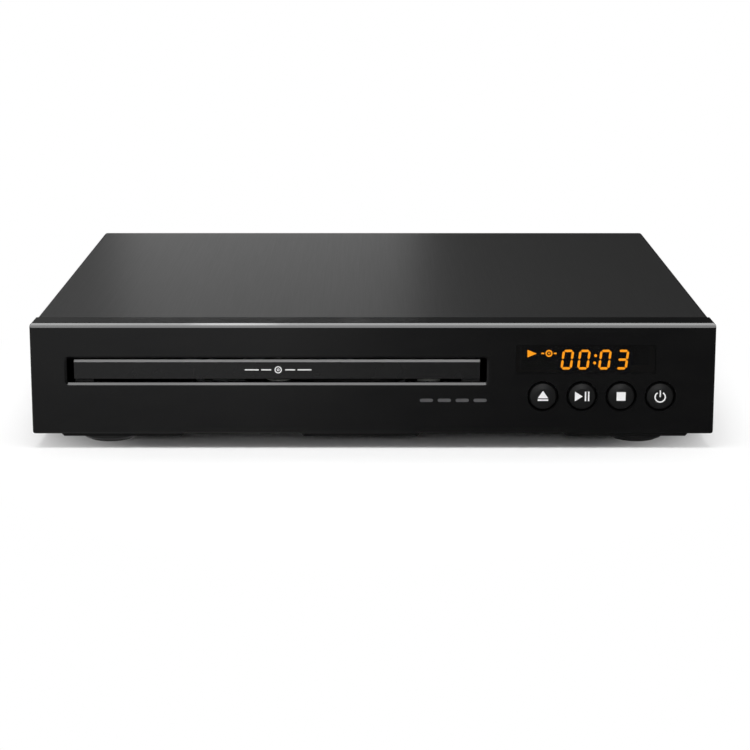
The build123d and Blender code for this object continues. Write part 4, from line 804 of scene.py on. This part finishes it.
def new_piece(name, mesh_builder, finish, body):
    """Object at the origin from a bmesh, with its finish and body."""
    bmesh.ops.remove_doubles(mesh_builder, verts=mesh_builder.verts, dist=1e-7)
    bmesh.ops.recalc_face_normals(mesh_builder, faces=mesh_builder.faces)
    return add_piece(name, mesh_from(mesh_builder, name), finish, body)


def add_prism(builder, outline, front, back):
    """Closed prism between two depths, from (x, z) pairs in metres."""
    near = [builder.verts.new((x, front, z)) for x, z in outline]
    far = [builder.verts.new((x, back, z)) for x, z in outline]
    builder.faces.new(near)
    builder.faces.new(list(reversed(far)))
    count = len(outline)
    for index in range(count):
        follow = (index + 1) % count
        builder.faces.new((near[index], near[follow], far[follow], far[index]))


def add_ring(builder, centre, outer, inner, front, back, start=0.0, sweep=360.0, steps=40):
    """Ring, or part of one, as short quads between two radii."""
    whole = sweep >= 360.0
    rows = []
    for index in range(steps if whole else steps + 1):
        angle = math.radians(start + sweep * index / steps)
        along = (math.cos(angle), math.sin(angle))
        rows.append([builder.verts.new((centre[0] + radius * along[0], depth, centre[1] + radius * along[1]))
                     for radius, depth in ((inner, front), (outer, front), (outer, back), (inner, back))])
    for index in range(steps):
        this, follow = rows[index], rows[(index + 1) % len(rows)]
        for corner in range(4):
            other = (corner + 1) % 4
            builder.faces.new((this[corner], this[other], follow[other], follow[corner]))
    if not whole:
        builder.faces.new(rows[0])
        builder.faces.new(list(reversed(rows[-1])))


def add_disc(builder, centre, radius, front, back, steps=32):
    """Round prism."""
    outline = [(centre[0] + radius * math.cos(2 * math.pi * index / steps),
                centre[1] + radius * math.sin(2 * math.pi * index / steps)) for index in range(steps)]
    add_prism(builder, outline, front, back)


def rectangle(left, low, right, high):
    """Four corners of an upright rectangle."""
    return [(left, low), (right, low), (right, high), (left, high)]


print("flat piece helpers ready")

# %% [markdown]
# ## The display
# The player shows a running time of three seconds, in four digits of seven bars each. A bar is a hexagon with
# pointed ends, leaning a few degrees to the right, and a digit is a set of names of bars. The lit bars glow and
# the others stay dark on the same film. A play mark and a disc mark stand left of the digits.

# %% Draw the display
DIGIT_WIDTH = 3.75 * MM
BAR_WIDTH = 0.74 * MM
BAR_GAP = 0.14 * MM
LEAN = math.tan(math.radians(6.5))
DIGIT_STARTS = (0.0, 5.48 * MM, 12.42 * MM, 18.20 * MM)
DIGITS = ("0", "0", "0", "3")
LIT_BARS = {"0": "abcdef", "3": "abcdg"}
segments_low, segments_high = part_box("display_segments")
DIGITS_LEFT = segments_low.x + 0.80 * MM
DIGITS_LOW = segments_low.z - 0.78 * MM
DIGIT_HEIGHT = 6.63 * MM
COLON_LEFT = DIGITS_LEFT + 11.05 * MM
COLON_LEVELS = (0.33, 0.70)
COLON_RADIUS = 0.47 * MM
PLAY_LEFT = DIGITS_LEFT - 11.3 * MM
PLAY_LOW = DIGITS_LOW + 4.1 * MM
PLAY_SIZE = (3.0 * MM, 2.5 * MM)
DISC_PLACE = (DIGITS_LEFT - 4.2 * MM, DIGITS_LOW + 5.4 * MM)
DISC_RADII = (1.15 * MM, 0.72 * MM, 0.30 * MM)
DASH_ENDS = (1.6 * MM, 2.5 * MM)
DASH_HALF = 0.22 * MM


def bar_outline(start, end, width):
    """Hexagonal bar with pointed ends between two points."""
    along = (end - start).normalized()
    across = Vector((-along.y, along.x)) * width / 2
    step = along * width / 2
    return [start, start + step - across, end - step - across, end, end - step + across, start + step + across]


def digit_bars(left):
    """The seven bars of one digit by name, as outlines that don't lean yet."""
    inset = BAR_WIDTH / 2
    west, east = left + inset, left + DIGIT_WIDTH - inset
    south, north = DIGITS_LOW + inset, DIGITS_LOW + DIGIT_HEIGHT - inset
    middle = (south + north) / 2
    corners = {"a": ((west, north), (east, north)), "b": ((east, middle), (east, north)),
               "c": ((east, south), (east, middle)), "d": ((west, south), (east, south)),
               "e": ((west, south), (west, middle)), "f": ((west, middle), (west, north)),
               "g": ((west, middle), (east, middle))}
    bars = {}
    for name, (first, last) in corners.items():
        start, end = Vector(first), Vector(last)
        step = (end - start).normalized() * BAR_GAP
        bars[name] = bar_outline(start + step, end - step, BAR_WIDTH)
    return bars


def leaning(outline):
    """The outline with its top shifted to the right."""
    middle = DIGITS_LOW + DIGIT_HEIGHT / 2
    return [(point[0] + (point[1] - middle) * LEAN, point[1]) for point in outline]


def draw_display():
    """Lit and unlit bars, the colon, the play mark and the disc mark."""
    front, back = (panel_low.y + depth for depth in FILM_PLACE)
    lit = bmesh.new()
    dark = bmesh.new()
    for offset, digit in zip(DIGIT_STARTS, DIGITS):
        for name, outline in digit_bars(DIGITS_LEFT + offset).items():
            target = lit if name in LIT_BARS[digit] else dark
            add_prism(target, leaning(outline), front, back)
    for level in COLON_LEVELS:
        z = DIGITS_LOW + DIGIT_HEIGHT * level
        x = COLON_LEFT + (z - DIGITS_LOW - DIGIT_HEIGHT / 2) * LEAN
        add_disc(lit, (x, z), COLON_RADIUS, front, back, 16)
    width, height = PLAY_SIZE
    add_prism(lit, [(PLAY_LEFT, PLAY_LOW), (PLAY_LEFT + width, PLAY_LOW + height / 2),
                    (PLAY_LEFT, PLAY_LOW + height)], front, back)
    x, z = DISC_PLACE
    add_ring(lit, DISC_PLACE, DISC_RADII[0], DISC_RADII[1], front, back, steps=28)
    add_disc(lit, DISC_PLACE, DISC_RADII[2], front, back, 12)
    for side in (-1, 1):
        left, right = sorted(x + side * end for end in DASH_ENDS)
        add_prism(lit, rectangle(left, z - DASH_HALF, right, z + DASH_HALF), front, back)
    lit_piece = new_piece("lit_bars", lit, finishes["display_amber"], "case")
    new_piece("unlit_bars", dark, finishes["unlit_bars"], "case")
    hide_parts("display_segments")
    return len(lit_piece.data.polygons)


print("lit faces", draw_display())

# %% [markdown]
# ## Marks on the buttons
# Each cap carries one white mark that everyone knows: eject, play and pause, stop, and power. They are moulded
# in a second colour, a twentieth of a millimetre proud of the dome, so they ride on the cap and sink in with it.

# %% Mould the button marks
MARK_PROUD = 0.05 * MM
MARK_THICK = 0.20 * MM


MARKS = {
    "eject": ([(-1.72, -0.60), (1.72, -0.60), (0.0, 1.90)], rectangle(-1.72, -1.50, 1.72, -0.98)),
    "play": ([(-2.35, -1.62), (0.25, 0.0), (-2.35, 1.62)], rectangle(0.92, -1.58, 0.92 + 0.46, 1.58),
             rectangle(1.95, -1.58, 1.95 + 0.46, 1.58)),
    "stop": (rectangle(-1.48, -1.45, 1.48, 1.45),),
    "power": (rectangle(-0.19, -0.15, 0.19, 2.02),),
}
RING_DROP = 0.22 * MM
RING_RADII = (1.88 * MM, 1.46 * MM)


def mould_mark(name, outlines):
    """One mark from outlines in millimetres about the cap's middle, and a ring for the power button."""
    low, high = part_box(name + "_button")
    x, z = (low.x + high.x) / 2, (low.z + high.z) / 2
    near = low.y - MARK_PROUD
    far = near + MARK_THICK
    builder = bmesh.new()
    if name == "power":
        add_ring(builder, (x, z - RING_DROP), *RING_RADII, near, far, start=122.0, sweep=296.0, steps=44)
    for outline in outlines:
        add_prism(builder, [(x + across * MM, z + up * MM) for across, up in outline], near, far)
    new_piece(name + "_mark", builder, finishes["print_white"], name)


for name, outlines in MARKS.items():
    mould_mark(name, outlines)
print("four button marks moulded")

# %% [markdown]
# ## Marks on the door and the front
# The middle of the door holds a plain sign, a disc between dashes. The front holds four plain rounded bars in
# shallow pockets, at the lower right of the tray.

# %% Print the door
DOOR_MARK_Z = 0.475
DOOR_MARK_X = 0.503
PRINT_THICK = 0.05 * MM
DOOR_DASHES = ((2.3, 5.6), (6.4, 11.0))
DOOR_DASH_HALF = 0.20 * MM


def print_door():
    """Disc sign between two dashes, on the door's face."""
    low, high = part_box("tray_door")
    x = low.x + (high.x - low.x) * DOOR_MARK_X
    z = low.z + (high.z - low.z) * DOOR_MARK_Z
    near, far = low.y - PRINT_THICK, low.y + PRINT_THICK
    builder = bmesh.new()
    add_ring(builder, (x, z), 1.20 * MM, 0.86 * MM, near, far, steps=36)
    add_ring(builder, (x, z), 0.46 * MM, 0.20 * MM, near, far, steps=20)
    for side in (-1, 1):
        for dash in DOOR_DASHES:
            left, right = sorted(x + side * end * MM for end in dash)
            add_prism(builder, rectangle(left, z - DOOR_DASH_HALF, right, z + DOOR_DASH_HALF), near, far)
    return new_piece("door_print", builder, finishes["print_white"], "tray")


print("door print faces", len(print_door().data.polygons))

# %% Print the four bars
finishes["bar_grey"] = plain_finish("bar_grey", (0.085, 0.085, 0.088), 0.38, 1500.0)
BARS_LEFT = 15.45 * MM
BAR_PITCH = 5.9 * MM
BAR_LONG = 4.4 * MM
BAR_HIGH = 1.15 * MM
BARS_Z = 16.3 * MM
POCKET_DEEP = 0.15 * MM


def rounded_bar(left, middle, length, height, steps=8):
    """Outline of a bar with half round ends."""
    radius = height / 2
    outline = []
    for centre, start in ((left + length - radius, -90.0), (left + radius, 90.0)):
        for index in range(steps + 1):
            angle = math.radians(start + 180.0 * index / steps)
            outline.append((centre + radius * math.cos(angle), middle + radius * math.sin(angle)))
    return outline


def four_prisms(front, back):
    """The four bars between two depths."""
    builder = bmesh.new()
    for index in range(4):
        outline = rounded_bar(BARS_LEFT + index * BAR_PITCH, BARS_Z, BAR_LONG, BAR_HIGH)
        add_prism(builder, outline, front, back)
    bmesh.ops.recalc_face_normals(builder, faces=builder.faces)
    return builder


def sink_pockets(panel):
    """Cuts the bars' shallow pockets into the panel."""
    builder = four_prisms(panel_low.y - POCKET_DEEP, panel_low.y + POCKET_DEEP)
    cutter = linked("pocket_cutter", mesh_from(builder, "pocket_cutter"))
    cut = panel.modifiers.new("pockets", "BOOLEAN")
    cut.operation = "DIFFERENCE"
    cut.object = cutter
    panel.data = evaluated_mesh(panel)
    bpy.data.objects.remove(cutter)


def print_bars():
    """Four bars at the bottom of their pockets."""
    sink_pockets(bpy.data.objects["fine_panel"])
    builder = four_prisms(panel_low.y + POCKET_DEEP / 3, panel_low.y + POCKET_DEEP - TINY / 4)
    return new_piece("four_bars", builder, finishes["bar_grey"], "case")


print("bar faces", len(print_bars().data.polygons))

# %% [markdown]
# ## Repeated small parts
# Node trees place what repeats: crosshead screws at the places of the plain CAD screws, and small parts that
# are strewn over both boards with a fixed seed. Each result becomes a plain mesh.

# %% Define the node trees
HEAD_HIGH = 0.55 * MM
HEAD_RADIUS = 2.5 * MM
SHAFT_RADIUS = 1.25 * MM
SHAFT_LONG = 3.4 * MM
SLOT_LONG = 3.0 * MM
SLOT_WIDE = 0.62 * MM
SLOT_DEEP = 0.40 * MM
REAR_REACH = 100.0 * MM
SIDE_SEAT = 0.6 * MM
OLD_HEAD = 1.0 * MM


def start_tree(name, inputs):
    """Node tree with a geometry socket each way and the named inputs."""
    tree = bpy.data.node_groups.new(name, "GeometryNodeTree")
    tree.interface.new_socket(name="Geometry", in_out="INPUT", socket_type="NodeSocketGeometry")
    for label, kind in inputs:
        tree.interface.new_socket(name=label, in_out="INPUT", socket_type=kind)
    tree.interface.new_socket(name="Geometry", in_out="OUTPUT", socket_type="NodeSocketGeometry")
    return tree, add_node(tree, "NodeGroupInput"), add_node(tree, "NodeGroupOutput")


def end_tree(tree, entry, leave, placed):
    """Makes the copies real and gives them their finish."""
    real = add_node(tree, "GeometryNodeRealizeInstances")
    coat = add_node(tree, "GeometryNodeSetMaterial")
    wire(tree, (placed, "Instances", real, "Geometry"), (real, "Geometry", coat, "Geometry"),
               (entry, "Finish", coat, "Material"), (coat, "Geometry", leave, "Geometry"))
    return tree


def row_tree():
    """A copy of the item at each point, turned by the point's own angles."""
    tree, entry, leave = start_tree("copies_at_points", (("Item", "NodeSocketObject"),
                                                         ("Finish", "NodeSocketMaterial"),
                                                         ("Size", "NodeSocketFloat")))
    item = add_node(tree, "GeometryNodeObjectInfo")
    turn = add_node(tree, "GeometryNodeInputNamedAttribute", data_type="FLOAT_VECTOR")
    turn.inputs["Name"].default_value = "turn"
    angles = add_node(tree, "FunctionNodeEulerToRotation")
    placed = add_node(tree, "GeometryNodeInstanceOnPoints")
    wire(tree, (entry, "Item", item, "Object"), (entry, "Geometry", placed, "Points"),
               (item, "Geometry", placed, "Instance"), (turn, "Attribute", angles, 0),
               (angles, 0, placed, "Rotation"), (entry, "Size", placed, "Scale"))
    return end_tree(tree, entry, leave, placed)


def strewn_tree():
    """Copies of the item strewn over a face, spaced apart, each with its own size and quarter turn."""
    tree, entry, leave = start_tree("copies_on_board", (("Item", "NodeSocketObject"),
                                                        ("Finish", "NodeSocketMaterial"),
                                                        ("Gap", "NodeSocketFloat"),
                                                        ("Density", "NodeSocketFloat"),
                                                        ("Seed", "NodeSocketInt"),
                                                        ("Least", "NodeSocketVector"),
                                                        ("Most", "NodeSocketVector")))
    item = add_node(tree, "GeometryNodeObjectInfo")
    spread = add_node(tree, "GeometryNodeDistributePointsOnFaces", distribute_method="POISSON")
    size = add_node(tree, "FunctionNodeRandomValue", data_type="FLOAT_VECTOR")
    side = add_node(tree, "FunctionNodeRandomValue", data_type="INT")
    set_inputs(side, {"Min": 0, "Max": 1})
    quarter = add_node(tree, "ShaderNodeMath", operation="MULTIPLY")
    quarter.inputs[1].default_value = math.pi / 2
    angles = add_node(tree, "ShaderNodeCombineXYZ")
    turned = add_node(tree, "FunctionNodeEulerToRotation")
    placed = add_node(tree, "GeometryNodeInstanceOnPoints")
    wire(tree, (entry, "Item", item, "Object"), (entry, "Geometry", spread, "Mesh"),
               (entry, "Gap", spread, "Distance Min"), (entry, "Density", spread, "Density Max"),
               (entry, "Seed", spread, "Seed"), (entry, "Least", size, "Min"), (entry, "Most", size, "Max"),
               (entry, "Seed", size, "Seed"), (entry, "Seed", side, "Seed"),
               (spread, "Points", placed, "Points"), (item, "Geometry", placed, "Instance"))
    tree.links.new([out for out in side.outputs if out.enabled][0], quarter.inputs[0])
    wire(tree, (quarter, 0, angles, "Z"), (angles, 0, turned, 0), (turned, 0, placed, "Rotation"))
    tree.links.new([out for out in size.outputs if out.enabled][0], placed.inputs["Scale"])
    return end_tree(tree, entry, leave, placed)


def grow(name, mesh, tree, values, body):
    """Runs the tree on the mesh and keeps its result as a plain mesh."""
    seed = linked(name + "_points", mesh)
    modifier = seed.modifiers.new(name, "NODES")
    modifier.node_group = tree
    for socket in tree.interface.items_tree:
        if socket.item_type == "SOCKET" and socket.in_out == "INPUT" and socket.name in values:
            modifier[socket.identifier] = values[socket.name]
    seed.update_tag()
    result = evaluated_mesh(seed)
    result.name = name
    bpy.data.objects.remove(seed)
    piece = linked(name, result)
    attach(piece, body)
    return piece


print("node trees ready")

# %% Drive the screws
def islands(mesh):
    """Low and high corners of each separate solid of a mesh."""
    builder = bmesh.new()
    builder.from_mesh(mesh)
    bmesh.ops.remove_doubles(builder, verts=builder.verts, dist=1e-6)
    left = set(builder.verts)
    boxes_found = []
    while left:
        front = [left.pop()]
        group = []
        while front:
            corner = front.pop()
            group.append(corner.co.copy())
            for edge in corner.link_edges:
                other = edge.other_vert(corner)
                if other in left:
                    left.remove(other)
                    front.append(other)
        low = Vector([min(point[axis] for point in group) for axis in range(3)])
        high = Vector([max(point[axis] for point in group) for axis in range(3)])
        boxes_found.append((low, high))
    builder.free()
    return sorted(boxes_found, key=lambda pair: tuple(pair[0]))


def crosshead():
    """Screw with its head on z = 0, pointing down, and a cross cut into its head."""
    builder = bmesh.new()
    profile = ((0.0, HEAD_HIGH), (HEAD_RADIUS - HEAD_HIGH / 2, HEAD_HIGH), (HEAD_RADIUS, HEAD_HIGH / 2),
               (HEAD_RADIUS, 0.0), (SHAFT_RADIUS, 0.0), (SHAFT_RADIUS, -SHAFT_LONG), (0.0, -SHAFT_LONG))
    corners = [builder.verts.new((radius, 0.0, z)) for radius, z in profile]
    edges = [builder.edges.new(pair) for pair in zip(corners, corners[1:])]
    bmesh.ops.spin(builder, geom=corners + edges, cent=(0.0, 0.0, 0.0), axis=(0.0, 0.0, 1.0),
                   angle=2 * math.pi, steps=24, use_duplicate=False)
    bmesh.ops.remove_doubles(builder, verts=builder.verts, dist=1e-7)
    bmesh.ops.recalc_face_normals(builder, faces=builder.faces)
    screw = linked("crosshead", mesh_from(builder, "crosshead"))
    cutters = []
    for length, width in ((SLOT_LONG, SLOT_WIDE), (SLOT_WIDE, SLOT_LONG)):
        cutter_builder = bmesh.new()
        bmesh.ops.create_cube(cutter_builder, size=1.0)
        for corner in cutter_builder.verts:
            corner.co = (corner.co.x * length, corner.co.y * width, HEAD_HIGH + corner.co.z * 2 * SLOT_DEEP)
        cutter = linked("cross_cutter", mesh_from(cutter_builder, "cross_cutter"))
        cut = screw.modifiers.new("cut", "BOOLEAN")
        cut.operation = "DIFFERENCE"
        cut.object = cutter
        cutters.append(cutter)
    screw.data = evaluated_mesh(screw)
    for cutter in cutters:
        bpy.data.objects.remove(cutter)
    return screw


def drive_screws():
    """Crosshead screws in the cover's sides and rear hem."""
    solid = nodes["cover_screws"]
    mesh = solid.data.copy()
    mesh.transform(solid.matrix_world)
    points = []
    turns = []
    for low, high in islands(mesh):
        middle = (low + high) / 2
        if abs(middle.x) > REAR_REACH:
            side = math.copysign(1.0, middle.x)
            points.append((side * (panel_high.x - SIDE_SEAT), middle.y, middle.z))
            turns.append((0.0, side * math.pi / 2, 0.0))
        else:
            points.append((middle.x, high.y - OLD_HEAD, middle.z))
            turns.append((-math.pi / 2, 0.0, 0.0))
    cloud = bpy.data.meshes.new("screw_places")
    cloud.from_pydata(points, [], [])
    attribute = cloud.attributes.new("turn", "FLOAT_VECTOR", "POINT")
    for index, turn in enumerate(turns):
        attribute.data[index].vector = turn
    screw = crosshead()
    values = {"Item": screw, "Finish": finishes["screw_black"], "Size": 1.0}
    piece = grow("crosshead_screws", cloud, row_tree(), values, "case")
    bpy.data.objects.remove(screw)
    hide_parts("cover_screws")
    return piece, len(points)


screws, screw_count = drive_screws()
print("screws", screw_count, "faces", len(screws.data.polygons))

# %% Strew the small board parts
BOARD_EDGE = 5.0 * MM
STREWN = (
    ("main_board", "black_bits", "chip_black", 5.5, 9, (2.4, 1.2, 0.7), (3.6, 2.0, 1.0)),
    ("main_board", "plated_bits", "plated", 4.2, 4, (1.6, 0.8, 0.35), (2.2, 1.2, 0.55)),
    ("power_board", "power_bits", "chip_black", 9.0, 2, (2.6, 2.0, 1.0), (6.0, 2.6, 1.8)),
)


def strew(board, name, slot, gap, seed, least, most):
    """Small boxes over one board's upper face."""
    low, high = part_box(board)
    face = bpy.data.meshes.new(name + "_face")
    left, right = low.x + BOARD_EDGE, high.x - BOARD_EDGE
    near, far = low.y + BOARD_EDGE, high.y - BOARD_EDGE
    corners = [(x, y, high.z) for x, y in ((left, near), (right, near), (right, far), (left, far))]
    face.from_pydata(corners, [], [(0, 1, 2, 3)])
    builder = bmesh.new()
    bmesh.ops.create_cube(builder, size=MM)
    bmesh.ops.translate(builder, verts=builder.verts, vec=(0.0, 0.0, 0.5 * MM))
    item = linked(name + "_box", mesh_from(builder, name + "_box"))
    values = {"Item": item, "Finish": finishes[slot], "Gap": gap * MM, "Density": 1.0e6, "Seed": seed,
              "Least": least, "Most": most}
    piece = grow(name, face, strewn_tree(), values, "case")
    bpy.data.objects.remove(item)
    return piece


print("strewn faces", [len(strew(*row).data.polygons) for row in STREWN])
